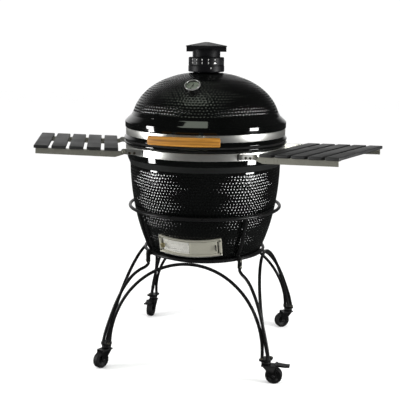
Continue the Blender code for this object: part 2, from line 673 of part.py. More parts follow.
def build_casters(root):
    for corner, (azimuth, heading) in CORNERS.items():
        spot = on_azimuth(azimuth, LEG_R)
        matrix = Matrix.Translation(spot) @ Matrix.Rotation(radians(heading - 90), 4, "Z")
        swivel = frame_at(f"caster_swivel_{corner}", matrix=matrix, parent=root)
        fork = place(f"caster_fork_{corner}", cylinder_mesh(0.0165, 0.0665, 0.0841, 20), PAINT, swivel)
        bridge = hidden_box("fork_bridge", (-0.0160, -0.0172, 0.0640), (0.0310, 0.0172, 0.0680),
                            swivel)
        cheek = arc((TRAIL, WHEEL_R), 0.0085, -110, 20, 6)
        if corner in BRAKED:
            cheek += arc(BRAKE_PIVOT, 0.0048, -60, 120, 6)
        cheek += [(0.0310, 0.0670), (-0.0130, 0.0670)]
        stand_up = Matrix.Rotation(pi / 2, 4, "X")
        unite(fork, bridge)
        for sign in (-1, 1):
            shift = Matrix.Translation((0, sign * 0.0156, 0))
            unite(fork, plate("fork_cheek", [cheek], 0.0030, None, swivel, shift @ stand_up, hidden=True))
        axle = hidden_cylinder("fork_axle", 0.0040, -0.0195, 0.0195, swivel, "Y",
                               (TRAIL, 0, WHEEL_R), sides=16)
        unite(fork, axle)
        hub = frame_at(f"caster_axle_{corner}", (TRAIL, 0, WHEEL_R), parent=swivel)
        tyre = [
            (WHEEL_R - 0.0030, 0.0120), (WHEEL_R, 0.0075), (WHEEL_R, -0.0075),
            (WHEEL_R - 0.0030, -0.0120),
            (0.0043, -0.0120), (0.0043, 0.0120),
        ]
        turned(f"caster_wheel_{corner}", tyre, RUBBER, hub, steps=24,
               matrix=Matrix.Rotation(pi / 2, 4, "X"))
        if corner in BRAKED:
            build_brake(corner, swivel, fork)


def build_brake(corner, swivel, fork):
    """A rocking pedal behind the fork, hinged on a cross pin between the fork's cheeks."""
    x, z = BRAKE_PIVOT
    pin = hidden_cylinder("brake_pin", 0.0018, -0.0160, 0.0160, swivel, "Y", (x, 0, z), sides=12)
    unite(fork, pin)
    pivot = frame_at(f"caster_brake_axis_{corner}", (x, 0, z), parent=swivel)
    side = arc((0, 0), 0.0040, 70, 290, 10) + [(0.012, -0.0038), (0.030, -0.0052)]
    side += arc((0.0445, -0.0012), 0.0023, -90, 90, 4) + [(0.030, 0.0012), (0.012, 0.0034)]
    hole = arc((0, 0), 0.0021, 0, 330, 11)
    plate(f"caster_brake_{corner}", [side, hole], 0.0260, PAINT, pivot,
          Matrix.Rotation(pi / 2, 4, "X"))


# ---------------------------------------------------------------- shelves
def build_shelf(side, root):
    sign = 1 if side == "right" else -1
    heading = radians(-SHELF_TURN if side == "right" else 180 + SHELF_TURN)
    level = Matrix.Rotation(heading, 4, "Z")
    distance, height = SHELF_PIVOT
    pivot_at = level @ Vector((distance, 0, height))
    mount = frame_at(f"shelf_mount_{side}", matrix=Matrix.Translation(pivot_at) @ level, parent=root)
    lean = Matrix.Rotation(radians(-SHELF_TILT), 4, "Y")
    pivot = frame_at(f"shelf_pivot_{side}", matrix=Matrix.Translation(pivot_at) @ level @ lean,
                     parent=root)
    middle = sign * SHELF_SHIFT
    top = SLAT_TOP - SLAT_THICK - GAP
    upright = Matrix.Rotation(pi / 2, 4, "X")

    # Fixed bracket: a strap on the band with an ear, pin and pin head at each arm
    span = sorted((sign * 36.0, sign * 113.0))
    radii = (LOWER_BAND_R + 2 * GAP, LOWER_BAND_R + 0.0028)
    heights = (LOWER_BAND_Z[0] + 0.0010, LOWER_BAND_Z[1] - 0.0010)
    bracket = sector(f"shelf_bracket_{side}", radii, heights, span, STEEL, root, step=6.0)
    for end in (-1, 1):
        plane = middle + end * ARM_SPREAD
        inner = plane - end * (SHEET / 2 + GAP + 0.0015)
        root_x = sqrt((LOWER_BAND_R + 0.0012) ** 2 - inner ** 2) - distance
        ear = [(root_x, -0.0165)] + arc((0, 0), 0.0100, -60, 90, 8) + [(root_x, 0.0045)]
        shift = Matrix.Translation((0, inner, 0))
        unite(bracket, plate("shelf_ear", [ear], 0.003, None, mount, shift @ upright, hidden=True))
        low, high = sorted((inner, plane + end * 0.0030))
        pin = hidden_cylinder("shelf_pin", 0.0040, low, high, mount, "Y", sides=16)
        near, far = sorted((plane + end * (SHEET / 2 + GAP), plane + end * 0.0050))
        head = hidden_cylinder("shelf_pin_head", 0.0075, near, far, mount, "Y", sides=16)
        unite(bracket, pin, head)

    # Folding frame: two angle arms and a cross brace
    low = top - ARM_HEIGHT
    first = middle - ARM_SPREAD
    arm_side = arc((0, 0), 0.0100, 90, 235, 8) + [(0.030, low), (ARM_END, low + 0.003), (ARM_END, top)]
    arm_side += [(0.012, top)]
    hole = arc((0, 0), 0.0043, 0, 345, 15)
    shift = Matrix.Translation((0, first, 0))
    frame = plate(f"shelf_frame_{side}", [arm_side, hole], SHEET, STEEL, pivot, shift @ upright)
    far_arm = plate("shelf_far_arm", [arm_side, hole], SHEET, None, pivot,
                    Matrix.Translation((0, middle + ARM_SPREAD, 0)) @ upright, hidden=True)
    brace = hidden_box("shelf_brace", (0.028, first, top - SHEET), (0.050, middle + ARM_SPREAD, top),
                       pivot)
    unite(frame, far_arm, brace)
    for end in (-1, 1):
        plane = middle + end * ARM_SPREAD
        near, far = sorted((plane, plane - end * 0.020))
        ledge = hidden_box("shelf_ledge", (SLAT_START, near, top - SHEET), (ARM_END, far, top), pivot)
        unite(frame, ledge)

    for i in range(5):
        start = SLAT_START + i * SLAT_PITCH
        low_corner = (start, middle - SLAT_LENGTH / 2, SLAT_TOP - SLAT_THICK)
        high_corner = (start + SLAT_WIDTH, middle + SLAT_LENGTH / 2, SLAT_TOP)
        slat = place(f"slat_{side}_{i + 1}", box_mesh(low_corner, high_corner), SLAT_BLACK, pivot)
        soften = slat.modifiers.new("soften", "BEVEL")
        soften.width = 0.0015
        soften.segments = 1


# ---------------------------------------------------------------- assembly
clear_scene()
PARTS = new_collection("kamado_grill")
CUTTERS = new_collection("cutters")

GLAZE = make_material("black_glaze", (0.008, 0.009, 0.009), 0.14)
FIRECLAY = make_material("fireclay", (0.62, 0.52, 0.42), 0.85)
FELT = make_material("black_felt", (0.015, 0.015, 0.015), 0.95)
CAST_IRON = make_material("cast_iron", (0.05, 0.05, 0.05), 0.7, 0.6)
STEEL = make_material("brushed_steel", (0.55, 0.54, 0.50), 0.35, 1.0)
POLISHED = make_material("polished_steel", (0.75, 0.75, 0.73), 0.18, 1.0)
VENT_BLACK = make_material("vent_black", (0.02, 0.02, 0.022), 0.45)
PAINT = make_material("black_paint", (0.012, 0.012, 0.013), 0.4)
RUBBER = make_material("black_rubber", (0.02, 0.02, 0.02), 0.6)
SLAT_BLACK = make_material("dark_slat", (0.035, 0.035, 0.036), 0.6)
WOOD = make_material("bamboo", (0.62, 0.33, 0.11), 0.45)
GLASS = make_material("clear_glass", (0.9, 0.95, 0.93), 0.05)
POINTER_BLACK = make_material("pointer_black", (0.02, 0.02, 0.02), 0.5)

ROOT = frame_at("grill_axis", (0, AXIS_Y, 0))
LID = frame_at("lid_hinge", (0, HINGE_Y, HINGE_Z), parent=ROOT)
LID_BACK = frame_at("lid_frame", (0, -HINGE_Y, -HINGE_Z), parent=LID)
VENT_TOP = frame_at("vent_axis", parent=LID_BACK)
THERMO = thermometer_frame(LID_BACK)
DRAFT = draft_frame(ROOT)
FLAP = frame_at("rack_flap_hinge", (0, RACK_HINGE_Y, 0.7853 + RACK_HOOP_R), parent=ROOT)

build_base(ROOT)
build_grates(ROOT)
build_seals_and_bands(ROOT, LID_BACK)
build_dome(LID_BACK)
build_thermometer()
build_handle(LID_BACK)
build_vent(LID_BACK, VENT_TOP)
build_hinge(ROOT, LID_BACK)
build_draft_door()
build_cradle(ROOT)
build_arches(ROOT)
build_legs(ROOT)
build_casters(ROOT)
for shelf_side in ("left", "right"):
    build_shelf(shelf_side, ROOT)
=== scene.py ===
"""Kamado ceramic grill: the visual model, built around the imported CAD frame.

Metres, in the row frame: +Z up, front of the grill towards -Y. An azimuth is measured
round the grill's own vertical axis from the front (-Y) towards the right (+X).
"""
import json
from math import acos, asin, cos, degrees, pi, radians, sin, sqrt

import bmesh
import bpy
from mathutils import Matrix, Vector

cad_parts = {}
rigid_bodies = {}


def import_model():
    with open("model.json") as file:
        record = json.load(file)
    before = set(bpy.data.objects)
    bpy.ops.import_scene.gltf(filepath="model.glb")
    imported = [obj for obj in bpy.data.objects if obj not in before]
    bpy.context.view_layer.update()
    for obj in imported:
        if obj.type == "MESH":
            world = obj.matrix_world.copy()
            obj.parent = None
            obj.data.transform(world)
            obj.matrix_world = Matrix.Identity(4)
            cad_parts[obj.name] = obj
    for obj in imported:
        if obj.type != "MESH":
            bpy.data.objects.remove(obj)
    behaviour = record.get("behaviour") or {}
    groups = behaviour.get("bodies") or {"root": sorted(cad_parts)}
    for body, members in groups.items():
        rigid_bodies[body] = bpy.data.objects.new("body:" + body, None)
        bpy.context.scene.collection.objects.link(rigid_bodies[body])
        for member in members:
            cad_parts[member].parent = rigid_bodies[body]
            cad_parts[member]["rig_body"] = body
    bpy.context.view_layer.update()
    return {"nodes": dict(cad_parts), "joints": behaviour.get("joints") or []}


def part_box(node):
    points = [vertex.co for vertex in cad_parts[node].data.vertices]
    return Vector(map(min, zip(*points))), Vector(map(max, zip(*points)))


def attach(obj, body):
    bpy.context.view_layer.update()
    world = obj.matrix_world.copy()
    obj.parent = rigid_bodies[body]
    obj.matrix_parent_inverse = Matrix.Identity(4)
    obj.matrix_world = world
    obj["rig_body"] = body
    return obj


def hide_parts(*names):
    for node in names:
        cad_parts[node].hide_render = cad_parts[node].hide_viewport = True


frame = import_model()
JOINTS = {joint["name"]: joint for joint in frame["joints"]}
AXIS = Vector((0, JOINTS["vent_turn"]["pos_m"][1], 0))
ON_AXIS = Matrix.Translation(AXIS)
ALONG_X = Matrix.Rotation(pi / 2, 4, "Y")       # lays a turned shape along X
OUTWARD = Matrix.Rotation(pi / 2, 4, "X")       # turns a shape's Z axis to -Y
CORNERS = {"front_left": -45, "front_right": 45, "rear_right": 135, "rear_left": -135}
BRAKED = ("front_right", "rear_left")


# ---- frames
def low(node):
    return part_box(node)[0]


def high(node):
    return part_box(node)[1]


def pivot(joint):
    return Vector(JOINTS[joint]["pos_m"])


def direction(joint):
    return Vector(JOINTS[joint]["axis"])


def turned(radius, angle, height):
    """A point round the Z axis, at an angle from the front."""
    return radius * sin(angle), -radius * cos(angle), height


def on_azimuth(azimuth, radius, height=0.0):
    return AXIS + Vector(turned(radius, radians(azimuth), height))


def outwards(azimuth):
    return on_azimuth(azimuth, 1) - AXIS


def spun(azimuth):
    return Matrix.Rotation(radians(azimuth), 4, "Z")


def facing(azimuth, radius=0.0, height=0.0):
    """A frame on the grill's axis turned to an azimuth: its -Y axis points outwards."""
    return Matrix.Translation(on_azimuth(azimuth, radius, height)) @ spun(azimuth)


def axes_frame(origin, x, y, z):
    rows = [[x[i], y[i], z[i], origin[i]] for i in range(3)]
    return Matrix(rows + [[0, 0, 0, 1]])


def level_frame(joint):
    """A frame on a level joint axis: Y along the axis, X away from the part that holds it."""
    y, z = direction(joint).normalized(), Vector((0, 0, 1))
    return axes_frame(pivot(joint), y.cross(z), y, z)


def front_frame(joint, sign=1):
    """A frame on a joint axis that leans in the YZ plane: Z along the axis, X to the right."""
    z, x = sign * direction(joint).normalized(), Vector((1, 0, 0))
    return axes_frame(pivot(joint), x, z.cross(x), z)


# ---- materials
def add_node(tree, kind, output, inputs=None, **settings):
    """A new node's output. Each input is a plain value or another node's output."""
    made = tree.nodes.new("ShaderNode" + kind)
    for key, value in settings.items():
        setattr(made, key, value)
    for socket, value in (inputs or {}).items():
        if isinstance(value, bpy.types.NodeSocket):
            tree.links.new(value, made.inputs[socket])
        else:
            made.inputs[socket].default_value = value
    return made.outputs[output]


class Look:
    """A procedural material and the record's slot that it belongs to."""

    def __init__(self, name, slot, colour, roughness, metallic=0.0, coat=0.0, specular=0.5):
        self.slot = slot
        self.material = bpy.data.materials.new(name)
        self.material.use_nodes = True
        self.tree = self.material.node_tree
        self.shader = self.tree.nodes["Principled BSDF"]
        self.normal = None
        self.set("Base Color", (*colour, 1.0))
        self.set("Roughness", roughness)
        self.set("Metallic", metallic)
        self.set("Coat Weight", coat)
        self.set("Coat Roughness", 0.04)
        self.set("Specular IOR Level", specular)

    def set(self, socket, value):
        self.shader.inputs[socket].default_value = value

    def link(self, source, socket):
        self.tree.links.new(source, self.shader.inputs[socket])

    def add(self, kind, output, inputs=None, **settings):
        return add_node(self.tree, kind, output, inputs, **settings)

    def place(self, stretch=(1, 1, 1)):
        spot = self.add("TexCoord", "Object")
        return self.add("Mapping", "Vector", {"Vector": spot, "Scale": stretch})

    def noise(self, scale, detail=4.0, stretch=(1, 1, 1), rough=0.5):
        return self.add("TexNoise", "Fac", {
            "Scale": scale, "Detail": detail, "Roughness": rough, "Vector": self.place(stretch)})

    def cells(self, scale, stretch):
        return self.add("TexVoronoi", "Distance", {
            "Scale": scale, "Vector": self.place(stretch)}, feature="F1")

    def strips(self, scale, distortion):
        return self.add("TexWave", "Fac", {
            "Scale": scale, "Distortion": distortion, "Vector": self.place()},
            bands_direction="Z")

    def height(self):
        return self.add("SeparateXYZ", "Z", {"Vector": self.place()})

    def edges(self):
        return self.spread(self.add("NewGeometry", "Pointiness"), 0.52, 0.6)

    def spread(self, source, start, end, low_value=0.0, high_value=1.0):
        return self.add("MapRange", "Result", {
            "Value": source, "From Min": start, "From Max": end, "To Min": low_value,
            "To Max": high_value})

    def maths(self, operation, first, second):
        return self.add("Math", 0, {0: first, 1: second}, operation=operation)

    def blend(self, share, first, second):
        """A colour between two others; each is a colour or another node's output."""
        first, second = ((*c, 1.0) if isinstance(c, tuple) else c for c in (first, second))
        return self.add("Mix", "Result", {"Factor": share, "A": first, "B": second},
                        data_type="RGBA")

    def paint(self, colour):
        self.link(colour, "Base Color")

    def mottle(self, source, start, end, first, second, most=1.0):
        self.paint(self.blend(self.spread(source, start, end, 0.0, most), first, second))

    def rough(self, source, start, end, low_value, high_value):
        self.link(self.spread(source, start, end, low_value, high_value), "Roughness")

    def bump(self, source, distance, strength=1.0):
        inputs = {"Distance": distance, "Strength": strength, "Height": source}
        if self.normal:
            inputs["Normal"] = self.normal
        self.normal = self.add("Bump", "Normal", inputs)
        self.link(self.normal, "Normal")


def scaled(colour, factor, lift=0.0):
    return tuple(factor * c + lift for c in colour)


def glaze():
    """Glossy black; rougher on the slope under the rim and painted paler there as a painted
    reflection of the floor, and a little duller on the dimples.
    """
    look = Look("dimpled_glaze", "black_glaze", (0.001, 0.001, 0.001), 0.08, specular=0.65)
    height = look.height()      # metres from the floor, at which each finish fades in or out
    satin_and_painted_sheen = look.maths("MULTIPLY", look.spread(height, 0.7595, 0.7575),
                       look.spread(height, 0.735, 0.738))
    pitted = look.maths("ADD", look.spread(height, 0.918, 0.92),
                        look.spread(height, 0.735, 0.734))
    look.bump(look.noise(14.0, 2.0), 0.0004, 0.2)
    deep = look.blend(look.spread(look.noise(9.0, 5.0), 0.35, 0.7),
                      (0.0008, 0.001, 0.0009), (0.0018, 0.002, 0.0019))
    # The rough slope under the rim is painted a paler grey: a painted reflection of the floor below
    # it.
    look.paint(look.blend(satin_and_painted_sheen, deep, (0.0062, 0.007, 0.0067)))
    rough = look.spread(look.noise(35.0, 4.0), 0.3, 0.75, 0.035, 0.075)
    dull = look.maths("ADD", look.maths("MULTIPLY", satin_and_painted_sheen, 0.3),
                      look.maths("MULTIPLY", pitted, 0.005))
    look.link(look.maths("ADD", rough, dull), "Roughness")
    return look


def metal(name, slot, colour, roughness, stretch=(1, 1, 1), metallic=0.7):
    look = Look(name, slot, colour, roughness, metallic=metallic)
    grain = look.noise(420.0, 3.0, stretch)
    smudge = look.noise(16.0, 4.0)
    look.mottle(grain, 0.3, 0.7, scaled(colour, 0.9), colour)
    both = look.maths("ADD", look.maths("MULTIPLY", grain, 0.5),
                      look.maths("MULTIPLY", smudge, 0.5))
    look.rough(both, 0.3, 0.7, roughness - 0.04, roughness + 0.05)
    look.bump(grain, 0.00001)
    return look


def coated(name, colour, roughness, grain, bump):
    """Black paint or plastic: dusty, and worn a little paler on its edges."""
    look = Look(name, name, colour, roughness, specular=0.16)
    dust = look.spread(look.noise(12.0, 5.0), 0.45, 0.8, 0.0, 0.35)
    dusty = look.blend(dust, colour, scaled(colour, 1.8, 0.0015))
    look.paint(look.blend(look.edges(), dusty, (0.014, 0.014, 0.014)))
    look.rough(look.noise(26.0, 4.0), 0.3, 0.7, roughness - 0.06, roughness + 0.1)
    look.bump(look.noise(grain, 3.0), bump)
    return look


def bamboo():
    look = Look("bamboo", "bamboo", (0.62, 0.33, 0.11), 0.42, coat=0.12, specular=0.2)
    fibre = look.noise(60.0, 5.0, (0.12, 1.0, 6.0), rough=0.6)
    vein = look.spread(look.noise(22.0, 3.0, (0.1, 1.0, 9.0)), 0.42, 0.68, 0.0, 0.75)
    knots = look.spread(look.cells(7.0, (1.0, 1.0, 0.35)), 0.0, 0.05, 0.45, 0.0)
    strip = look.strips(130.0, 0.4)
    honey = look.blend(look.spread(fibre, 0.35, 0.65),
                       (0.25, 0.104, 0.01), (0.42, 0.19, 0.024))
    honey = look.blend(vein, honey, (0.1, 0.04, 0.004))
    honey = look.blend(knots, honey, (0.055, 0.02, 0.005))
    look.paint(look.blend(look.spread(strip, 0.9, 1.0, 0.0, 0.5), honey, (0.065, 0.024, 0.006)))
    look.rough(fibre, 0.3, 0.7, 0.34, 0.52)
    look.bump(fibre, 0.00018)
    look.bump(look.spread(strip, 0.88, 1.0, 1.0, 0.0), 0.00012)
    return look


def fireclay():
    look = Look("fireclay", "fireclay", (0.62, 0.52, 0.42), 0.9)
    grit = look.noise(190.0, 5.0)
    soot = look.spread(look.noise(7.0, 5.0), 0.42, 0.72, 0.0, 0.75)
    warm = look.blend(look.spread(grit, 0.3, 0.7), (0.5, 0.41, 0.32), (0.68, 0.58, 0.47))
    look.paint(look.blend(soot, warm, (0.16, 0.125, 0.1)))
    look.bump(grit, 0.0006)
    look.bump(look.noise(40.0, 3.0), 0.0009, 0.5)
    return look


def felt():
    look = Look("black_felt", "black_felt", (0.015, 0.015, 0.015), 0.95)
    weave = look.cells(520.0, (1.0, 1.0, 1.6))
    look.mottle(weave, 0.1, 0.6, (0.028, 0.027, 0.026), (0.009, 0.009, 0.009))
    look.bump(weave, 0.0006)
    return look


def dusted(name, colour, roughness, dust, first, second, relief, **values):
    """A dark rough surface with patches of a paler colour on it."""
    look = Look(name, name, colour, roughness, **values)
    scale, end, most = dust
    look.mottle(look.noise(scale, 5.0), 0.5, end, first, second, most)
    look.bump(look.noise(*relief[:2]), relief[2])
    return look


def slat_plastic():
    look = Look("dark_slat", "dark_slat", (0.03, 0.03, 0.031), 0.5, specular=0.35)
    cloud = look.noise(10.0, 4.0)
    look.mottle(cloud, 0.35, 0.7, (0.01, 0.01, 0.0105), (0.02, 0.02, 0.02))
    look.rough(cloud, 0.3, 0.7, 0.42, 0.58)
    look.bump(look.noise(160.0, 4.0, rough=0.6), 0.0003)
    return look


def plain(name, slot, colour, roughness, scale=120.0, bump=0.0001, metallic=0.0):
    """A small part's finish: a little colour change and fine relief."""
    look = Look(name, slot, colour, roughness, metallic=metallic)
    grain = look.noise(scale, 4.0)
    look.mottle(grain, 0.3, 0.7, scaled(colour, 0.82), colour)
    look.bump(grain, bump)
    return look


def clear_glass():
    look = Look("clear_glass", "clear_glass", (0.95, 0.98, 0.97), 0.03)
    look.set("Transmission Weight", 1.0)
    look.set("IOR", 1.08)
    return look


GLAZE = glaze()
BAND_STEEL = metal("polished_steel", "polished_steel", (0.76, 0.76, 0.72), 0.34,
                   (0.05, 0.05, 2.6), 0.95)
CHROME = metal("bright_chrome", "polished_steel", (0.26, 0.26, 0.25), 0.18, metallic=0.5)
STEEL = metal("brushed_steel", "brushed_steel", (0.3, 0.295, 0.25), 0.3, (1.0, 1.0, 0.15))
DOOR_STEEL = metal("door_steel", "brushed_steel", (0.42, 0.41, 0.34), 0.3, (0.3, 0.3, 1.0), 0.5)
MESH_STEEL = metal("mesh_steel", "brushed_steel", (0.9, 0.89, 0.82), 0.3, (0.3, 0.3, 1.0), 0.5)
SCREW = plain("dark_screw", "brushed_steel", (0.05, 0.045, 0.03), 0.4, 90.0, 0.00003, 0.5)
WIRE = metal("wire_steel", "brushed_steel", (0.55, 0.54, 0.51), 0.32)
PAINT = coated("black_paint", (0.0018, 0.0018, 0.002), 0.3, 420.0, 0.00025)
VENT = coated("vent_black", (0.0035, 0.0035, 0.0044), 0.4, 900.0, 0.00016)
BAMBOO = bamboo()
FIRECLAY = fireclay()
FELT = felt()
IRON = dusted("cast_iron", (0.05, 0.05, 0.05), 0.72, (22.0, 0.75, 0.5), (0.045, 0.043, 0.042),
              (0.19, 0.175, 0.16), (300.0, 4.0, 0.0007), metallic=0.6)
RUBBER = dusted("black_rubber", (0.008, 0.008, 0.008), 0.62, (70.0, 0.72, 0.6),
                (0.0035, 0.0035, 0.0038), (0.011, 0.0105, 0.01), (500.0, 3.0, 0.0002),
                specular=0.25)
SLAT = slat_plastic()
GLASS = clear_glass()
HUB = plain("wheel_hub", "black_rubber", (0.005, 0.005, 0.0055), 0.45)
BRASS = plain("knob_olive", "brushed_steel", (0.33, 0.29, 0.15), 0.38, 90.0, 0.00004, 0.85)
DIAL = plain("dial_face", "polished_steel", (0.72, 0.73, 0.64), 0.5, 60.0, 0.00002)
# Black for the dial's print, also used as painted shade for the draft rail's groove and the gaps at
# the shelf brackets.
INK_AND_PAINTED_SHADE = plain("dial_ink_and_painted_shade", "pointer_black", (0.015, 0.015, 0.014), 0.6)
WHITE = plain("white_print", "vent_black", (0.8, 0.8, 0.78), 0.55)
POINTER = plain("pointer_black", "pointer_black", (0.02, 0.02, 0.02), 0.5)


# ---- shapes
def new_object(name, data):
    made = bpy.data.objects.new(name, data)
    bpy.context.scene.collection.objects.link(made)
    return made


def piece(name, data, look, body, matrix=None, replaces=()):
    made = new_object(name, data)
    data.materials.clear()
    data.materials.append(look.material)
    if matrix is not None:
        made.matrix_world = matrix
    bpy.context.view_layer.update()
    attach(made, body)
    if replaces:
        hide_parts(*replaces)
    return made


def smoothed(mesh, angle=38):
    mesh.shade_smooth()
    mesh.set_sharp_from_angle(angle=radians(angle))
    return mesh


def to_mesh(shape, name, angle=38):
    mesh = bpy.data.meshes.new(name)
    shape.to_mesh(mesh)
    shape.free()
    return smoothed(mesh, angle)


def add_box(shape, size, matrix):
    """A box round a frame's origin."""
    bmesh.ops.create_cube(shape, size=1.0, matrix=matrix @ Matrix.Diagonal((*size, 1.0)))


def box_between(low_corner, high_corner):
    shape = bmesh.new()
    low_corner, high_corner = Vector(low_corner), Vector(high_corner)
    add_box(shape, high_corner - low_corner, Matrix.Translation((low_corner + high_corner) / 2))
    return shape


def ease_edges(shape, width, segments):
    bmesh.ops.bevel(shape, geom=shape.edges, offset=width, segments=segments, affect="EDGES",
                    profile=0.5)


def rounded(points, radius, closed=True, steps=3):
    """The outline with its corners turned on small curves."""
    made = []
    count = len(points)
    for i, here in enumerate(points):
        here = Vector(here)
        if not closed and i in (0, count - 1):
            made.append(here)
            continue
        back = Vector(points[i - 1]) - here
        ahead = Vector(points[(i + 1) % count]) - here
        start = here + back.normalized() * min(radius, 0.45 * back.length)
        end = here + ahead.normalized() * min(radius, 0.45 * ahead.length)
        for k in range(steps + 1):
            t = k / steps
            made.append((1 - t) ** 2 * start + 2 * t * (1 - t) * here + t * t * end)
    return made


def eased(points, radius):
    """An open outline whose ends stay and whose corners are turned."""
    return rounded(points, radius, closed=False)


def lathe_mesh(name, outline, steps=144):
    """A turned surface from a closed outline of (radius, height) points."""
    shape = bmesh.new()
    rings = []
    for radius, height in outline:
        if radius < 1e-6:
            rings.append([shape.verts.new((0, 0, height))] * steps)
            continue
        turns = [2 * pi * i / steps for i in range(steps)]
        rings.append([shape.verts.new(turned(radius, a, height)) for a in turns])
    for first, second in zip(rings, rings[1:] + rings[:1]):
        for i in range(steps):
            k = (i + 1) % steps
            corners = list(dict.fromkeys([first[i], first[k], second[k], second[i]]))
            if len(corners) > 2:
                shape.faces.new(corners)
    bmesh.ops.recalc_face_normals(shape, faces=shape.faces)
    return to_mesh(shape, name)


def lathe(name, outline, look, body, steps=144, matrix=ON_AXIS, replaces=()):
    return piece(name, lathe_mesh(name, outline, steps), look, body, matrix, replaces)


def tube(name, points, radius, look, body, loop=False, replaces=(), sides=4):
    """A round rod through smooth points; several rods when points is a list of lists."""
    curve = bpy.data.curves.new(name, "CURVE")
    curve.dimensions = "3D"
    curve.bevel_depth = radius
    curve.bevel_resolution = sides
    curve.use_fill_caps = True
    curve.resolution_u = 4
    runs = points if isinstance(points[0], list) else [points]
    for run in runs:
        spline = curve.splines.new("BEZIER")
        spline.bezier_points.add(len(run) - 1)
        for knot, place in zip(spline.bezier_points, run):
            knot.co = place
            knot.handle_left_type = knot.handle_right_type = "AUTO"
        spline.use_cyclic_u = loop
    piece(name, curve, look, body, replaces=replaces)


def plate(name, outline, thickness, look, body, matrix, edge, replaces=()):
    """A flat plate with rounded edges in its own XY plane."""
    curve = bpy.data.curves.new(name, "CURVE")
    curve.dimensions = "2D"
    curve.fill_mode = "BOTH"
    curve.extrude = thickness / 2 - edge
    curve.bevel_depth = edge
    curve.bevel_resolution = 2
    curve.offset = -edge
    spline = curve.splines.new("POLY")
    spline.points.add(len(outline) - 1)
    for knot, point in zip(spline.points, outline):
        knot.co = (*point, 0.0, 1.0)
    spline.use_cyclic_u = True
    piece(name, curve, look, body, matrix, replaces)


def block(name, low_corner, high_corner, look, body, matrix, replaces=(), edge=0.001, segments=3):
    shape = box_between(low_corner, high_corner)
    ease_edges(shape, edge, segments)
    piece(name, to_mesh(shape, name, 60), look, body, matrix, replaces)


def arc(centre, radius, start, end, count):
    steps = [radians(start + (end - start) * i / count) for i in range(count + 1)]
    return [(centre[0] + radius * cos(a), centre[1] + radius * sin(a)) for a in steps]


def sector(name, radii, heights, span, look, body, matrix, edge, replaces=(), step=1.5):
    """A curved strip round the Z axis between two azimuths, in degrees from -Y."""
    count = max(2, round((span[1] - span[0]) / step))
    inner = arc((0, 0), radii[0], span[0] - 90, span[1] - 90, count)
    outer = arc((0, 0), radii[1], span[1] - 90, span[0] - 90, count)
    lift = Matrix.Translation((0, 0, sum(heights) / 2))
    plate(name, inner + outer, heights[1] - heights[0], look, body, matrix @ lift, edge, replaces)


def refined(node, look, edge, segments=2):
    """The CAD solid itself, welded and with its edges rounded, standing for the node."""
    source = frame["nodes"][node]
    shape = bmesh.new()
    shape.from_mesh(source.data)
    bmesh.ops.remove_doubles(shape, verts=shape.verts, dist=0.00001)
    bmesh.ops.dissolve_limit(shape, angle_limit=radians(1.0), verts=shape.verts,
                             edges=shape.edges)
    made = piece(node + "_skin", to_mesh(shape, node + "_skin"), look, source["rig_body"],
                 replaces=(node,))
    soften = made.modifiers.new("soften", "BEVEL")
    soften.width = edge
    soften.segments = segments
    soften.limit_method = "ANGLE"
    soften.angle_limit = radians(32)
    soften.harden_normals = True


def bolt(name, place, outward, radius, body, look=STEEL, height=None):
    """A button head with a round socket, its flat side on the surface."""
    height = height or 0.55 * radius
    shares = [(0, 0.35), (0.52, 0.35), (0.55, 1.0), (0.78, 0.86), (0.95, 0.5), (1.0, 0.0),
              (0, 0)]
    outline = [(r * radius, z * height) for r, z in shares]
    turn = Vector(outward).to_track_quat("Z", "Y").to_matrix().to_4x4()
    lathe(name, outline, look, body, 24, Matrix.Translation(place) @ turn)


# ---- ceramics
FOOT_Z, BASE_TOP_Z = low("base_shell").z, high("base_shell").z
DOME_LOW_Z, DOME_TOP_Z = low("dome_shell").z, high("dome_shell").z
RIM_R = high("dome_shell").x
BAND_R, LOWER_BAND_R = high("upper_band").x, high("lower_band").x
NECK_R = 0.046
RIM_INNER_R = 0.272
WALL = 0.022
PIT_PITCH = 0.0122              # between neighbouring pits in a row
PIT_ROW = 0.9                   # between rows, as a share of the pitch
PIT_DEPTH = 0.0027
PIT_WANDER = 0.13               # of a pitch, how far a pit sits from its place
PIT_BACK = 0.0032               # how far the wall behind the pitted skin stands back
PIT_COLUMNS = 1120
PIT_RINGS = 6                   # mesh rings in a row of pits
PIT_SHIFT = 0.382               # of a pitch, from each row to the next
PITTED_BOWL = (0.7345, 0.401)   # heights
PITTED_DOME = (0.9, 0.17)       # shares of the dome's curve
PITTED_DOME_END = (0.2792, 0.919)
# the two profiles are parts of superellipses
BOWL_TOP_Z, BOWL_DEPTH, BOWL_R, BOWL_POWER = 0.754, 0.528, 0.285, 2.05
DOME_LEVEL_Z, DOME_RISE, DOME_R, DOME_POWER = 0.8768, 0.1987, 0.2798, 2.169
DRAFT_WINDOW = (-0.084, -0.3, -0.022), (-0.006, -0.17, 0.022)


def bowl_radius(height):
    share = ((BOWL_TOP_Z - height) / BOWL_DEPTH) ** BOWL_POWER
    return BOWL_R * (1 - share) ** (1 / BOWL_POWER)


def dome_point(share, inset=0.0):
    a = share * pi / 2
    return ((DOME_R - inset) * cos(a) ** (2 / DOME_POWER),
            DOME_LEVEL_Z + (DOME_RISE - inset) * sin(a) ** (2 / DOME_POWER))


def ramp(start, end, count):
    return [start + (end - start) * i / count for i in range(count + 1)]


def subtract(mesh, low_corner, high_corner, matrix):
    """The mesh with a box in the matrix's frame taken out of it."""
    shape = box_between(low_corner, high_corner)
    shape.transform(matrix)
    body = new_object("cut_body", mesh)
    tool = new_object("cut_tool", to_mesh(shape, "cutter"))
    step = body.modifiers.new("cut", "BOOLEAN")
    step.operation = "DIFFERENCE"
    step.object = tool
    made = bpy.data.meshes.new_from_object(
        body.evaluated_get(bpy.context.evaluated_depsgraph_get()))
    for item in (body, tool):
        bpy.data.objects.remove(item, do_unlink=True)
    return smoothed(made)


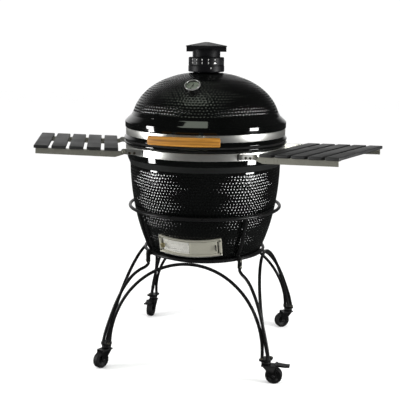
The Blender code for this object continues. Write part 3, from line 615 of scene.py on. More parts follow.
def evenly(points, step):
    """The open outline again, with points at equal distances of about one step."""
    points = [Vector(p) for p in points]
    lengths = [(b - a).length for a, b in zip(points, points[1:])]
    count = round(sum(lengths) / step)
    wanted = sum(lengths) / count
    made, travelled = [points[0]], 0.0
    for a, b, length in zip(points, points[1:], lengths):
        while len(made) < count and len(made) * wanted <= travelled + length:
            made.append(a.lerp(b, (len(made) * wanted - travelled) / length))
        travelled += length
    return made + [points[-1]]


def pitted_mesh(name, outline):
    """A turned skin, given from its top down, with rows of small round pits pressed into it."""
    rings = evenly(outline, PIT_PITCH * PIT_ROW / PIT_RINGS)
    last = len(rings) - 1
    verts, faces = [], []
    for i, ring in enumerate(rings):
        along = rings[min(i + 1, last)] - rings[max(i - 1, 0)]
        outward = Vector((-along.y, along.x)).normalized()
        row = round(i / PIT_RINGS)
        pitted = 0 < row and PIT_RINGS * (row + 1) <= last
        count = round(2 * pi * rings[min(PIT_RINGS * row, last)].x / PIT_PITCH)
        for k in range(PIT_COLUMNS):
            turn = 2 * pi * k / PIT_COLUMNS
            place = turn / (2 * pi) * count + PIT_SHIFT * row
            cell = round(place) % count
            across, down = place - round(place), i / PIT_RINGS - row
            across -= PIT_WANDER * sin(12.99 * cell + 4.1 * row) * (1 - 4 * across * across)
            down -= PIT_WANDER * sin(78.23 * cell + 9.7 * row) * (1 - 4 * down * down)
            depth = PIT_DEPTH * (0.8 + 0.2 * sin(37.7 * cell + 5.3 * row)) if pitted else 0.0
            radius, height = ring - outward * (depth * (cos(pi * across) * cos(pi * down)) ** 2)
            verts.append(turned(radius, turn, height))
    for i in range(last):
        for k in range(PIT_COLUMNS):
            here, after = i * PIT_COLUMNS, (k + 1) % PIT_COLUMNS
            below = here + PIT_COLUMNS
            faces.append((here + k, below + k, below + after, here + after))
    mesh = bpy.data.meshes.new(name)
    mesh.from_pydata(verts, [], faces)
    mesh.shade_smooth()
    return mesh


def open_window(mesh, low_corner, high_corner, matrix):
    """Take a straight-sided window out of a thin skin; the matrix's -Y side looks at it."""
    shape = bmesh.new()
    shape.from_mesh(mesh)
    back = matrix.inverted()

    def inside(face, margin):
        spot = back @ face.calc_center_median()
        across = low_corner[0] - margin < spot.x < high_corner[0] + margin
        up = low_corner[2] - margin < spot.z < high_corner[2] + margin
        return across and up and spot.y < 0

    for axis in (0, 2):
        for corner in (low_corner, high_corner):
            near = [face for face in shape.faces if inside(face, 0.012)]
            edges = list({edge for face in near for edge in face.edges})
            verts = list({vert for face in near for vert in face.verts})
            bmesh.ops.bisect_plane(shape, geom=near + edges + verts, dist=0.000001,
                                   plane_co=matrix @ Vector(corner), plane_no=matrix.col[axis].xyz)
    gone = [face for face in shape.faces if inside(face, 0.0)]
    bmesh.ops.delete(shape, geom=gone, context="FACES")
    shape.to_mesh(mesh)
    shape.free()
    mesh.shade_smooth()


def leave_bare_inside(made, look):
    """Give the faces of a turned shell that look at its axis the unglazed ceramic."""
    made.data.materials.append(look.material)
    for face in made.data.polygons:
        out = face.center.xy.normalized()
        if face.normal.xy.dot(out) < -0.12:
            face.material_index = 1


def build_base():
    outer = eased([
        (RIM_INNER_R, BASE_TOP_Z), (RIM_R - 0.002, BASE_TOP_Z), (RIM_R, BASE_TOP_Z - 0.003),
        (RIM_R - 0.001, 0.8155), (0.2955, 0.8074), (0.2955, 0.777), (0.2948, 0.76),
        (0.2855, 0.737), (bowl_radius(PITTED_BOWL[0]), PITTED_BOWL[0]),
    ], 0.0022)
    zone = ramp(*PITTED_BOWL, 60)
    outer += [(bowl_radius(z) - PIT_BACK, z) for z in zone[1:-1:2]]
    outer += [(bowl_radius(PITTED_BOWL[1]), PITTED_BOWL[1])]
    foot = eased([(bowl_radius(0.397), 0.397), (0.196, FOOT_Z), (0.15, FOOT_Z)], 0.004)
    floor_z = FOOT_Z + 0.0258
    inner = [(0, floor_z), (bowl_radius(0.43) - 0.032, floor_z)]
    inner += [(bowl_radius(z) - WALL, z) for z in ramp(0.45, 0.73, 12)]
    inner += [(RIM_INNER_R, 0.78)]
    mesh = lathe_mesh("glazed_base", inner + outer + foot[1:] + [(0, FOOT_Z)], 160)
    draft = Matrix.Translation(-AXIS) @ front_frame("draft_mesh_slide")
    mesh = subtract(mesh, *DRAFT_WINDOW, draft)
    shell = piece("glazed_base", mesh, GLAZE, "base", ON_AXIS, ("base_shell",))
    leave_bare_inside(shell, FIRECLAY)
    skin = pitted_mesh("glazed_base_dimples", [(bowl_radius(z), z) for z in zone])
    open_window(skin, *DRAFT_WINDOW, draft)
    piece("glazed_base_dimples", skin, GLAZE, "base", ON_AXIS)

    cup = eased([
        (0, 0.4365), (0.16, 0.4365), (0.16, 0.5), (0.178, 0.5), (0.205, 0.58),
        (0.218, 0.69), (0.24, 0.69), (0.238, 0.6), (0.213, 0.5),
        (0.184, floor_z + 0.0003), (0, floor_z + 0.0003),
    ], 0.004)
    mesh = subtract(lathe_mesh("fire_bowl", cup, 96), (-0.09, -0.26, 0.4365),
                    (0.09, -0.12, 0.492), Matrix())
    piece("fire_bowl", mesh, FIRECLAY, "base", ON_AXIS, ("firebox",))
    ring = rounded([(0.25, 0.785), (0.25, 0.6903), (0.22, 0.6903), (0.224, 0.785)], 0.004)
    lathe("fire_collar", ring, FIRECLAY, "base", 96, replaces=("fire_ring",))


def build_dome():
    zone = [dome_point(share) for share in ramp(*PITTED_DOME, 60)] + [PITTED_DOME_END]
    outer = eased([(NECK_R, DOME_TOP_Z - 0.02), (NECK_R, DOME_TOP_Z), zone[0]], 0.002)
    outer += [dome_point(share, PIT_BACK) for share in ramp(0.895, PITTED_DOME[1], 40)]
    outer += [(PITTED_DOME_END[0] - PIT_BACK, PITTED_DOME_END[1] + 0.0005), zone[-1]]
    seat = BAND_R - 0.0025
    outer += eased([
        (0.2793, 0.9186), (0.2795, 0.9175), (0.3, 0.899), (0.303, 0.895),
        (0.3025, 0.8725), (seat, 0.8722), (seat, 0.844), (RIM_R, 0.8345), (RIM_R, 0.832),
        (RIM_R - 0.003, DOME_LOW_Z), (RIM_INNER_R, DOME_LOW_Z), (0.268, 0.875),
    ], 0.003)
    inner = [dome_point(s, WALL) for s in ramp(0.12, 0.82, 24)] + [(NECK_R, 1.053)]
    shell = lathe("glazed_dome", outer + inner, GLAZE, "lid", 160, replaces=("dome_shell",))
    leave_bare_inside(shell, FIRECLAY)
    piece("glazed_dome_dimples", pitted_mesh("glazed_dome_dimples", zone), GLAZE, "lid", ON_AXIS)


def ring_band(name, node, radii, round_edge, look, body, steps):
    """A ring of a node's height between two radii, standing for the node."""
    bottom, top = low(node).z, high(node).z
    outline = [(radii[1], top), (radii[1], bottom), (radii[0], bottom), (radii[0], top)]
    lathe(name, rounded(outline, round_edge), look, body, steps, replaces=(node,))


def build_seals_and_bands():
    for node, body in (("base_gasket", "base"), ("dome_gasket", "lid")):
        ring_band(node + "_rope", node, (0.274, 0.3035), 0.0013, FELT, body, 144)
    for node, body in (("lower_band", "base"), ("upper_band", "lid")):
        radius = high(node).x
        ring_band(node + "_strip", node, (radius - 0.0022, radius), 0.0008, BAND_STEEL, body, 180)


# ---- grates
def build_grates():
    """The fire grate, and the cooking rack with its front part hinged on a cross wire."""
    refined("charcoal_grate", IRON, 0.0018, 3)
    hoop, wire = 0.004, 0.0028
    hinge = pivot("rack_flap_fold")
    level, reach = hinge.z, high("cooking_grate").x - hoop
    start, gap = hinge.y - AXIS.y, 0.012
    for name, node, body, edge, side in (("rack", "cooking_grate", "base", start, 1),
                                         ("flap", "rack_flap", "rack_flap", start - gap, -1)):
        split = degrees(acos(-edge / reach))
        first, last = (split, 360 - split) if side > 0 else (-split, split)
        rim = [on_azimuth(a, reach, level) for a in ramp(first, last, 24)]
        tube(f"{name}_hoop", rim, hoop, WIRE, body, replaces=(node,))
        half = sqrt(reach ** 2 - edge ** 2)
        bars = [[AXIS + Vector((x, edge, level)) for x in (-half, half)]]
        for i in range(-8, 9):
            x = i * 0.028
            end = side * sqrt(reach ** 2 - x ** 2)
            if (end - edge) * side > 0.012:
                bars.append([AXIS + Vector((x, y, level)) for y in (edge, end)])
        tube(f"{name}_bars", bars, wire, WIRE, body, sides=3)
    for side, x in (("left", -0.098), ("right", 0.098)):
        eye = rounded([(0.005, -0.005), (0.005, 0.005), (0.0031, 0.005), (0.0031, -0.005)],
                      0.0006)
        spot = Matrix.Translation(hinge + Vector((x, 0, 0)))
        lathe(f"flap_eye_{side}", eye, WIRE, "rack_flap", 32, spot @ ALONG_X)
        block(f"flap_link_{side}", (-0.003, -gap, -0.002), (0.003, -0.004, 0.002), WIRE,
              "rack_flap", spot, edge=0.0006)


# ---- thermometer
ZERO_TURN = 200                 # the dial's zero mark, degrees clockwise from its top


def build_thermometer():
    spot = front_frame("needle_turn", -1)
    rim, top, face_z = 0.0285, 0.0205, 0.0127

    def turning(name, outline, look, body="lid", steps=72, replaces=()):
        lathe("thermometer_" + name, outline, look, body, steps, spot, replaces)

    turning("bezel", rounded([
        (0.0246, 0.015), (0.0246, top - 0.002), (0.0256, top), (0.0272, top), (rim, top - 0.0016),
        (rim, 0.015), (0.0262, 0.0125), (0.019, 0.007), (0.013, 0.002), (0.0105, -0.001),
        (0, -0.001), (0, 0.012), (0.0246, 0.012),
    ], 0.0009), CHROME, replaces=("thermometer_case",))
    turning("probe", eased([(0, 0), (0.0032, 0.0), (0.0032, -0.063), (0, -0.067)], 0.001),
            CHROME, steps=24)
    turning("dial", [(0, 0.0126), (0.0243, 0.0126), (0.0243, 0.012), (0, 0.012)], DIAL)
    marks = bmesh.new()
    for i in range(28):
        size, out = (((0.0005, 0.002), 0.022), ((0.0009, 0.0036), 0.0212))[i % 3 == 0]
        add_box(marks, (*size, 0.0003),
                spun(-(ZERO_TURN + 10 * i)) @ Matrix.Translation((0, out, face_z)))
    piece("thermometer_marks", to_mesh(marks, "thermometer_marks"), INK_AND_PAINTED_SHADE, "lid", spot)
    for i in range(4):
        a = -radians(ZERO_TURN + 80 * i) + pi / 2
        number_at = Matrix.Translation((0.0152 * cos(a), 0.0152 * sin(a), face_z))
        numeral(f"thermometer_number_{100 * i}", str(100 * i), 0.0046, INK_AND_PAINTED_SHADE, "lid",
                spot @ number_at)
    blade = [(-0.0013, -0.007), (0.0013, -0.007), (0.0004, 0.0185), (0, 0.0195),
             (-0.0004, 0.0185)]
    plate("thermometer_blade", blade, 0.0007, POINTER, "needle",
          spot @ spun(-ZERO_TURN) @ Matrix.Translation((0, 0, 0.0143)), 0.0002,
          ("thermometer_needle",))
    hub = eased([(0, 0.0133), (0.0022, 0.0133), (0.0022, 0.0152), (0, 0.0156)], 0.0004)
    turning("hub", hub, POINTER, "needle", 24)
    glass = eased([(0, 0.0188), (0.0242, 0.0184), (0.0242, 0.0168), (0, 0.0172)], 0.0003)
    turning("glass", glass, GLASS, replaces=("thermometer_lens",))


def numeral(name, text, size, look, body, matrix):
    curve = bpy.data.curves.new(name, "FONT")
    curve.body = text
    curve.size = size
    curve.align_x = "CENTER"
    curve.align_y = "CENTER"
    curve.extrude = 0.00012
    piece(name, curve, look, body, matrix)


# ---- handle
def build_handle():
    bottom, top = low("handle_bar").z, high("handle_bar").z
    inner, outer = 0.334, 0.356
    span = degrees(asin(high("handle_bar").x / outer))
    section = rounded([(outer, top), (outer, bottom), (inner, bottom), (inner, top)], 0.0065,
                      steps=5)
    shape = bmesh.new()
    slices = []
    ends, tip = 8, 0.9          # slices in a rounded end, and its length in degrees
    stations = [(-span + tip * (i / ends) ** 2, sqrt(1 - (1 - i / ends) ** 2))
                for i in range(ends)]
    stations += [(a, 1.0) for a in ramp(tip - span, span - tip, 60)]
    stations += [(-a, s) for a, s in reversed(stations[:ends])]
    middle = Vector(((inner + outer) / 2, (bottom + top) / 2))
    for azimuth, fill in stations:
        share = 0.62 + 0.38 * fill
        slices.append([shape.verts.new(on_azimuth(azimuth, *(middle + (corner - middle) * share)))
                       for corner in section])
    for first, second in zip(slices, slices[1:]):
        for i in range(len(section)):
            k = (i + 1) % len(section)
            shape.faces.new((first[i], first[k], second[k], second[i]))
    shape.faces.new(slices[0])
    shape.faces.new(list(reversed(slices[-1])))
    bmesh.ops.recalc_face_normals(shape, faces=shape.faces)
    piece("handle_grip", to_mesh(shape, "handle_grip", 50), BAMBOO, "lid", replaces=("handle_bar",))
    for side, azimuth in (("left", -10), ("right", 10)):
        refined(f"handle_bracket_{side}", BAND_STEEL, 0.0008, 3)
        for depth in (0.315, 0.343):
            bolt(f"handle_screw_{side}_{round(depth * 1000)}",
                 on_azimuth(azimuth, depth, top + 0.0028), (0, 0, 1), 0.0042, "lid", STEEL, 0.0018)


# ---- chimney vent
VENT_R = high("vent_body").x
SPLIT_Z = 1.1
RING_TOP_Z = 1.13
SLEEVE_R = 0.0517
SLEEVE_TOP_Z = high("vent_ring").z
VENT_MARKS = (-36, -19, -0.5, 19.7, 42)         # azimuths


def build_vent():
    neck = NECK_R - 0.001
    body = rounded([
        (VENT_R - 0.0012, SPLIT_Z - 0.0003), (VENT_R, SPLIT_Z - 0.0015), (VENT_R, 1.0785),
        (VENT_R - 0.002, 1.0762), (0.056, 1.0752), (neck, 1.0752), (neck, 1.056),
        (neck - 0.004, 1.056), (neck - 0.004, SPLIT_Z + 0.034), (neck, SPLIT_Z + 0.034),
        (neck, SPLIT_Z - 0.0003),
    ], 0.0009)
    lathe("vent_base", body, VENT, "lid", 96, replaces=("vent_body",))
    ring = rounded([
        (VENT_R - 0.0035, RING_TOP_Z), (VENT_R - 0.0012, RING_TOP_Z - 0.0015),
        (VENT_R - 0.0012, SPLIT_Z + 0.0003), (NECK_R, SPLIT_Z + 0.0003), (NECK_R, SLEEVE_TOP_Z),
        (SLEEVE_R, SLEEVE_TOP_Z), (SLEEVE_R, RING_TOP_Z),
    ], 0.0009)
    lathe("vent_regulator", ring, VENT, "vent_top", 96, replaces=("vent_ring",))
    bottom, top = SPLIT_Z + 0.003, RING_TOP_Z - 0.004
    for side, sign in (("left", -1), ("right", 1)):
        grip = bmesh.new()
        for azimuth in range(62, 122, 4):
            add_box(grip, (0.0016, 0.002, top - bottom),
                    facing(sign * azimuth, VENT_R - 0.002, (bottom + top) / 2))
        ease_edges(grip, 0.0005, 2)
        name = f"vent_grip_{side}"
        piece(name, to_mesh(grip, name, 60), VENT, "vent_top")
    refined("vent_cap", VENT, 0.0011, 3)

    face, print_z = VENT_R - 0.001, 1.1095
    ticks = bmesh.new()
    for azimuth in VENT_MARKS:
        add_box(ticks, (0.0016, 0.0004, 0.0054), facing(azimuth, face, 1.1212))
    piece("vent_scale_marks", to_mesh(ticks, "vent_scale_marks"), WHITE, "vent_top")
    for number, azimuth in enumerate(VENT_MARKS[:4]):
        numeral(f"vent_number_{number}", str(number), 0.009, WHITE, "vent_top",
                facing(azimuth, face, print_z) @ OUTWARD)
    wedge = [(-0.0052, -0.0028), (0.0052, -0.0028), (0.0052, -0.001), (0, 0.0036),
             (-0.0052, -0.001)]
    plate("vent_open_mark", wedge, 0.0006, WHITE, "vent_top",
          facing(VENT_MARKS[4], face, print_z) @ OUTWARD, 0.0001)
    lathe("vent_pointer", [(0, 0.0005), (0.0018, 0.0005), (0.0021, 0.0), (0, 0)], WHITE,
          "lid", 20, facing(28, VENT_R - 0.0001, 1.091) @ OUTWARD)


# ---- hinge
def build_hinge():
    refined("hinge_lower_bracket", STEEL, 0.0008, 3)
    refined("hinge_upper_bracket", STEEL, 0.0008, 3)
    axle, pin_r, half = pivot("lid_hinge"), 0.005, 0.06
    pin = eased([(0, -half), (pin_r, -half), (pin_r, half), (0, half)], 0.001)
    lathe("hinge_rod", pin, STEEL, "base", 32, Matrix.Translation(axle) @ ALONG_X, ("hinge_pin",))
    start, end = low("hinge_spring").x + 0.0015, high("hinge_spring").x - 0.0015
    per_turn, count, coil_r = 12, 8 * 12, 0.0078
    coil = []
    for i in range(count + 1):
        a = 2 * pi * i / per_turn
        x = start + (end - start) * i / count
        coil.append(axle + Vector((x, coil_r * cos(a), coil_r * sin(a))))
    tube("hinge_spring_coil", coil, 0.0015, WIRE, "base", replaces=("hinge_spring",), sides=3)
    for body, radius, height in (("base", LOWER_BAND_R, 0.7936), ("lid", BAND_R, 0.8583)):
        for azimuth in (170, 180, 190):
            bolt(f"hinge_bolt_{body}_{azimuth}", on_azimuth(azimuth, radius + 0.0034, height),
                 outwards(azimuth), 0.0042, body)


# ---- draft door
def perforated_mesh(name, radius, span, heights, pitch, hole, thick):
    """A curved sheet round Z with rows of round holes."""
    shape = bmesh.new()
    start, end = (radians(a) * radius for a in span)
    columns = round((end - start) / pitch)
    rows = round((heights[1] - heights[0]) / pitch)
    wide, tall = (end - start) / columns, (heights[1] - heights[0]) / rows
    for i in range(columns):
        for j in range(rows):
            u, v = start + (i + 0.5) * wide, heights[0] + (j + 0.5) * tall
            inner, outer = [], []
            for k in range(8):
                x, y = cos(k * pi / 4), sin(k * pi / 4)
                inner.append(shape.verts.new((u + hole * x, v + hole * y, 0)))
                reach = 1 / max(abs(x), abs(y))
                outer.append(shape.verts.new((u + wide / 2 * reach * x,
                                              v + tall / 2 * reach * y, 0)))
            for k in range(8):
                m = (k + 1) % 8
                shape.faces.new((outer[k], outer[m], inner[m], inner[k]))
    bmesh.ops.remove_doubles(shape, verts=shape.verts, dist=0.00005)
    for vert in shape.verts:
        vert.co = turned(radius, vert.co.x / radius, vert.co.y)
    bmesh.ops.recalc_face_normals(shape, faces=shape.faces)
    bmesh.ops.solidify(shape, geom=shape.faces, thickness=thick)
    return to_mesh(shape, name)


def build_draft_door():
    """The rail with its two sliders: a plain door on the right and a screen on the left."""
    spot = front_frame("draft_mesh_slide")
    half, high_z, low_z, slot = 26.5, 0.0335, -0.0355, 0.0262
    outer, sheet_r, tall = 0.2625, 0.2573, 0.0258
    rail, whole, screen = (0.2545, outer), (-half, half), (-23.0, 0.2)

    def strip(name, radii, heights, span, look, body, edge, replaces=()):
        sector("draft_" + name, radii, heights, span, look, body, spot, edge, replaces)

    strip("rail_top", rail, (slot, high_z), whole, DOOR_STEEL, "base", 0.0007, ("draft_frame",))
    strip("rail_bottom", rail, (low_z, -slot), whole, DOOR_STEEL, "base", 0.0007)
    for side, span in (("left", (-half, 2.4 - half)), ("right", (half - 2.4, half))):
        strip("post_" + side, rail, (-slot, slot), span, DOOR_STEEL, "base", 0.0007)
    # A dark strip along the top rail: painted shade of its groove.
    strip("rail_groove_shade", (outer - 0.0002, outer + 0.0005), (0.029, 0.0302),
          (0.6 - half, half - 0.6), INK_AND_PAINTED_SHADE, "base", 0.0001)
    strip("lip", (outer - 0.0003, outer + 0.0016), (low_z, low_z + 0.003), whole, BAND_STEEL,
          "base", 0.0005)
    for level, height in (("top", 0.027), ("low", -0.027)):
        for side, azimuth in (("left", -25.2), ("right", 25.2)):
            turn = spot @ spun(azimuth)
            place = turn @ Vector((0, -outer - 0.0001, height))
            bolt(f"draft_screw_{level}_{side}", place, place - turn @ Vector((0, 0, height)),
                 0.0036, "base", SCREW)

    strip("plate", (0.2583, 0.2597), (-tall, tall), (0.5, 23.0), DOOR_STEEL, "draft_door", 0.0003,
          ("draft_panel",))
    block("draft_pull", (-0.002, -0.269, -0.011), (0.002, -0.259, 0.011), PAINT, "draft_door",
          spot @ spun(21.5), edge=0.0014)
    mesh = perforated_mesh("draft_mesh_sheet", sheet_r, screen, (-tall, tall), 0.0037, 0.00125,
                           0.0007)
    piece("draft_mesh_sheet", mesh, MESH_STEEL, "draft_mesh", spot, ("draft_screen",))
    strip("mesh_strip", (sheet_r, 0.2577), (-0.0062, 0.0062), (-19.3, 0.2), BAND_STEEL,
          "draft_mesh", 0.0001)
    for name, heights in (("top", (0.024, tall)), ("bottom", (-tall, -0.024))):
        strip(f"mesh_edge_{name}", (0.2566, 0.2577), heights, screen, DOOR_STEEL, "draft_mesh",
              0.0002)
    knob = eased([(0, 0.2725), (0.0095, 0.2725), (0.0095, 0.2665), (0.004, 0.2645),
                  (0.0032, 0.2577), (0, 0.2577)], 0.0012)
    lathe("draft_knob", knob, BRASS, "draft_mesh", 40, spot @ spun(-21.8) @ OUTWARD)


# ---- stand
ROD_R = 0.006
TOP_RING = (0.2865, 0.572)
LOW_RING = (0.228, 0.406)
SOCKET_R = 0.2465
LEG_R = 0.4225
PLATE_Z = 0.0904
BOLT_OUT = 0.02                 # from the middle of a foot to its bolts


def build_cradle():
    for name, (radius, height), replaces in (("top", TOP_RING, ("cradle",)),
                                             ("lower", LOW_RING, ())):
        points = [on_azimuth(i * 15, radius, height) for i in range(24)]
        tube(f"cradle_{name}_ring", points, ROD_R, PAINT, "base", True, replaces)
    for corner, azimuth in CORNERS.items():
        path = [on_azimuth(azimuth, TOP_RING[0] - 0.001, TOP_RING[1] - 0.001)]
        path += [on_azimuth(azimuth, bowl_radius(height) + 0.0125, height)
                 for height in ramp(0.55, 0.42, 6)]
        path += [on_azimuth(azimuth, SOCKET_R, z) for z in (0.412, 0.4)]
        tube(f"cradle_post_{corner}", path, ROD_R, PAINT, "base")
        sleeve = rounded([(0.0082, 0.415), (0.0082, 0.3755), (0, 0.3755), (0, 0.415)], 0.0012)
        lathe(f"cradle_cup_{corner}", sleeve, PAINT, "base", 32,
              Matrix.Translation(on_azimuth(azimuth, SOCKET_R)))
        block(f"cradle_link_{corner}", (-0.005, -SOCKET_R, LOW_RING[1] - 0.005),
              (0.005, -LOW_RING[0], LOW_RING[1] + 0.005), PAINT, "base", facing(azimuth))
        for height in (0.383, 0.404):
            bolt(f"cradle_bolt_{corner}_{round(height * 1000)}",
                 on_azimuth(azimuth, SOCKET_R + 0.008, height), outwards(azimuth), 0.004, "base")


def build_arches():
    """Four half ellipses, each from foot to foot on one side and leaning in at its top."""
    top_out, top_z, foot_out, half = 0.2345, 0.3935, 0.302, 0.285
    low_z = PLATE_Z + 0.0018
    for i, name in enumerate(("front", "right", "rear", "left")):
        path = []
        for a in ramp(-pi / 2, pi / 2, 30):
            spot = Vector((half * sin(a), (foot_out - top_out) * cos(a) - foot_out,
                           low_z + (top_z - low_z) * cos(a)))
            path.append(AXIS + spun(90 * i) @ spot)
        tube(f"arch_{name}", path, ROD_R, PAINT, "base", replaces=(f"stand_arch_{name}",))


def build_legs():
    bend = [(0.2465, 0.3751), (0.2465, 0.368), (0.256, 0.359), (0.282, 0.349),
            (0.31, 0.333), (0.335, 0.308), (0.357, 0.279), (0.377, 0.245),
            (0.396, 0.205), (0.413, 0.165), (0.426, 0.13), (0.437, PLATE_Z - 0.001)]
    foot = arc((BOLT_OUT, 0), 0.009, -70, 70, 10) + arc((0, 0), 0.0205, 55, 125, 8)
    foot += arc((-BOLT_OUT, 0), 0.009, 110, 250, 10) + arc((0, 0), 0.0205, 235, 305, 8)
    for corner, azimuth in CORNERS.items():
        path = [on_azimuth(azimuth, r, z) for r, z in bend]
        tube(f"leg_rod_{corner}", path, ROD_R, PAINT, "base", replaces=(f"stand_leg_{corner}",))
        turn = facing(azimuth, LEG_R)
        plate(f"leg_foot_{corner}", foot, 0.006, PAINT, "base",
              turn @ Matrix.Translation((0, 0, PLATE_Z - 0.003)), 0.0008)
        for side, out in (("in", -BOLT_OUT), ("out", BOLT_OUT)):
            bolt(f"leg_bolt_{corner}_{side}", turn @ Vector((out, 0, PLATE_Z - 0.0001)),
                 (0, 0, 1), 0.0052, "base", SCREW, 0.0036)


def build_casters():
    radius = high("caster_wheel_front_left").z / 2
    race = rounded([(0.0175, 0.08), (0.0175, 0.0755), (0.015, 0.0725), (0, 0.0725),
                    (0, 0.08)], 0.001)
    tread = rounded([
        (radius - 0.003, 0.012), (radius, 0.008), (radius, -0.008), (radius - 0.003, -0.012),
        (0.0215, -0.012), (0.0205, -0.0095), (0.0205, 0.0095), (0.0215, 0.012),
    ], 0.0016)
    half = [(0.0207, 0.0095), (0.019, 0.0098), (0.0165, 0.006), (0.0085, 0.0055),
            (0.008, 0.0118), (0.0043, 0.0118)]
    rim = rounded(half + [(r, -z) for r, z in reversed(half)], 0.0009)
    for corner in CORNERS:
        swivel, wheel = f"swivel_{corner}", f"wheel_{corner}"
        axle, along = pivot(wheel), direction(wheel)
        refined(f"caster_fork_{corner}", PAINT, 0.0007)
        lathe(f"caster_race_{corner}", race, HUB, swivel, 48,
              Matrix.Translation(pivot(swivel) * Vector((1, 1, 0))))
        hub = level_frame(wheel) @ OUTWARD
        lathe(f"caster_tyre_{corner}", tread, RUBBER, wheel, 72, hub, (f"caster_wheel_{corner}",))
        lathe(f"caster_rim_{corner}", rim, HUB, wheel, 48, hub)
        for name, side in (("a", -1), ("b", 1)):
            bolt(f"caster_nut_{corner}_{name}", axle + side * along * 0.017, side * along,
                 0.0058, swivel, PAINT, 0.003)
        if corner in BRAKED:
            refined(f"caster_brake_{corner}", PAINT, 0.0007)
            for i in range(5):
                start = 0.029 + i * 0.0032
                block(f"brake_tread_{corner}_{i}", (start, -0.0105, 0.0002),
                      (start + 0.0014, 0.0105, 0.0018), PAINT, f"brake_{corner}",
                      level_frame(f"brake_{corner}"), edge=0.0004, segments=2)


# ---- shelves
def build_shelves():
    for side, sign in (("left", -1), ("right", 1)):
        shelf = f"shelf_{side}"
        mount = level_frame(shelf + "_fold")
        tilted = mount @ Matrix.Rotation(radians(-2.53), 4, "Y")
        refined(f"shelf_bracket_{side}", BAND_STEEL, 0.0006)
        refined(f"shelf_frame_{side}", STEEL, 0.0005)
        middle = sign * 0.0117
        for i in range(1, 6):
            start = 0.0196 + (i - 1) * 0.0614
            block(f"slat_board_{side}_{i}", (start, middle - 0.1897, 0.0023),
                  (start + 0.05, middle + 0.1897, 0.0133), SLAT, shelf, tilted,
                  (f"slat_{side}_{i}",), 0.0028, 4)
            for name, end in (("near", -1), ("far", 1)):
                bolt(f"slat_screw_{side}_{i}_{name}",
                     tilted @ Vector((start + 0.025, middle + end * 0.17, -0.0005)),
                     -tilted.col[2].xyz, 0.0036, shelf, STEEL, 0.002)
        for name, end in (("near", -1), ("far", 1)):
            across = end * direction(shelf + "_fold")
            bolt(f"shelf_pivot_{side}_{name}", mount @ Vector((0, middle + end * 0.1848, 0)),
                 across, 0.0066, "base", STEEL, 0.003)
            for i, back in enumerate((0.02, 0.0375)):
                spot = mount @ Vector((-back, middle + end * 0.17805, -0.006))
                bolt(f"shelf_screw_{side}_{name}_{i}", spot, across, 0.005, "base", SCREW)
        # Dark strips on the band just past each bracket's ends: painted shadow of the gaps there.
        for edge, azimuth in (("front", 34.9), ("back", 113.1)):
            sector(f"shelf_gap_shadow_{side}_{edge}", (LOWER_BAND_R - 0.0004, LOWER_BAND_R + 0.0009),
                   (0.783, 0.8042), sorted((sign * azimuth, sign * (azimuth + 1.0))), INK_AND_PAINTED_SHADE,
                   "base", ON_AXIS, 0.0001, step=0.4)


# ---- stage
CAMERA_TURN = 13.16             # azimuth of the camera, degrees
BACKDROP_TURN = 12.0            # the backdrop's pale side leans this far to the left, degrees
DARK_FRONT = 0.03               # what polished surfaces mirror of the floor and the room before it
PALE_BACK = 1.0                 # and of the pale backdrop behind and beside the grill


def mirrored(tree, seen):
    """The strength of the pale room; polished surfaces mirror a dark room from the front."""
    a = radians(CAMERA_TURN + BACKDROP_TURN)
    along = add_node(tree, "VectorMath", "Value", {
        0: add_node(tree, "TexCoord", "Generated"), 1: (-sin(a), cos(a), 0)},
        operation="DOT_PRODUCT")
    fade = add_node(tree, "MapRange", "Result", {
        "Value": along, "From Min": 0.68, "From Max": 1.0, "To Min": DARK_FRONT,
        "To Max": PALE_BACK}, interpolation_type="SMOOTHSTEP")
    return add_node(tree, "Mix", "Result", {
        "Factor": add_node(tree, "LightPath", "Is Glossy Ray"), "A": seen, "B": fade})


def softbox(name, azimuth, distance, height, aim, size, energy, colour, slide=0.0):
    """A lamp aimed at the axis, then slid to the right; its azimuth is from the camera's."""
    lamp = bpy.data.lights.new(name, "AREA")
    lamp.shape = "RECTANGLE"
    lamp.size, lamp.size_y = size
    lamp.energy = energy
    lamp.color = colour
    made = new_object(name, lamp)
    made.location = on_azimuth(azimuth + CAMERA_TURN, distance, height)
    towards = AXIS + Vector((0, 0, aim)) - made.location
    made.rotation_euler = towards.to_track_quat("-Z", "Y").to_euler()
    made.location += slide * outwards(CAMERA_TURN + 90)


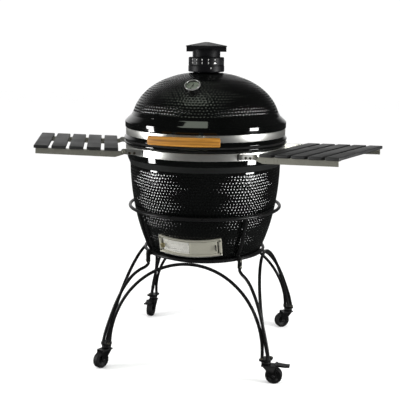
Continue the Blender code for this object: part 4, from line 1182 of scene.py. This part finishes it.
def studio():
    shape = bmesh.new()
    bmesh.ops.create_grid(shape, x_segments=1, y_segments=1, size=14.0)
    floor = new_object("studio_floor", to_mesh(shape, "studio_floor"))
    surface = Look("studio_floor", None, (0.97, 0.97, 0.97), 0.9, specular=0.1)
    surface.paint(surface.blend(surface.add("LightPath", "Is Glossy Ray"), (0.97, 0.97, 0.97),
                                (DARK_FRONT, DARK_FRONT, DARK_FRONT)))
    floor.data.materials.append(surface.material)

    world = bpy.data.worlds.new("studio")
    world.use_nodes = True
    background = world.node_tree.nodes["Background"]
    background.inputs["Color"].default_value = (1.0, 1.0, 1.0, 1.0)
    world.node_tree.links.new(mirrored(world.node_tree, 1.06), background.inputs["Strength"])
    bpy.context.scene.world = world

    white = (1.0, 1.0, 1.0)
    softbox("softbox_left", -79, 2.3, 0.8, 0.8, (0.5, 1.15), 44, white)
    softbox("softbox_right", 67, 2.3, 0.8, 0.8, (0.55, 1.15), 56, white)
    softbox("softbox_top", 0, 0.7, 3.2, 0.9, (1.15, 1.1), 8, (0.9, 1.0, 0.84), -0.5)


def camera():
    """The camera stands right of the front, a little above the rim, rolled half a degree."""
    distance, height = 3.0423, 1.1967
    yaw, pitch, roll = radians(-0.35), radians(11.338), radians(0.5675)
    forward = Vector((sin(yaw) * cos(pitch), cos(yaw) * cos(pitch), -sin(pitch)))
    right = Vector((cos(yaw), -sin(yaw), 0))
    up = right.cross(forward)
    spin = Matrix.Rotation(radians(CAMERA_TURN), 3, "Z")
    made = new_object("camera", bpy.data.cameras.new("camera"))
    made.data.sensor_width = 36.0
    made.data.lens = 72.42
    made.matrix_world = axes_frame(
        AXIS + spin @ Vector((0, -distance, height)), spin @ (cos(roll) * right + sin(roll) * up),
        spin @ (cos(roll) * up - sin(roll) * right), -(spin @ forward))
    bpy.context.scene.camera = made


for build in (build_base, build_dome, build_seals_and_bands, build_grates, build_thermometer,
              build_handle, build_vent, build_hinge, build_draft_door, build_cradle,
              build_arches, build_legs, build_casters, build_shelves, studio, camera):
    build()
bpy.context.scene.view_settings.view_transform = "Standard"
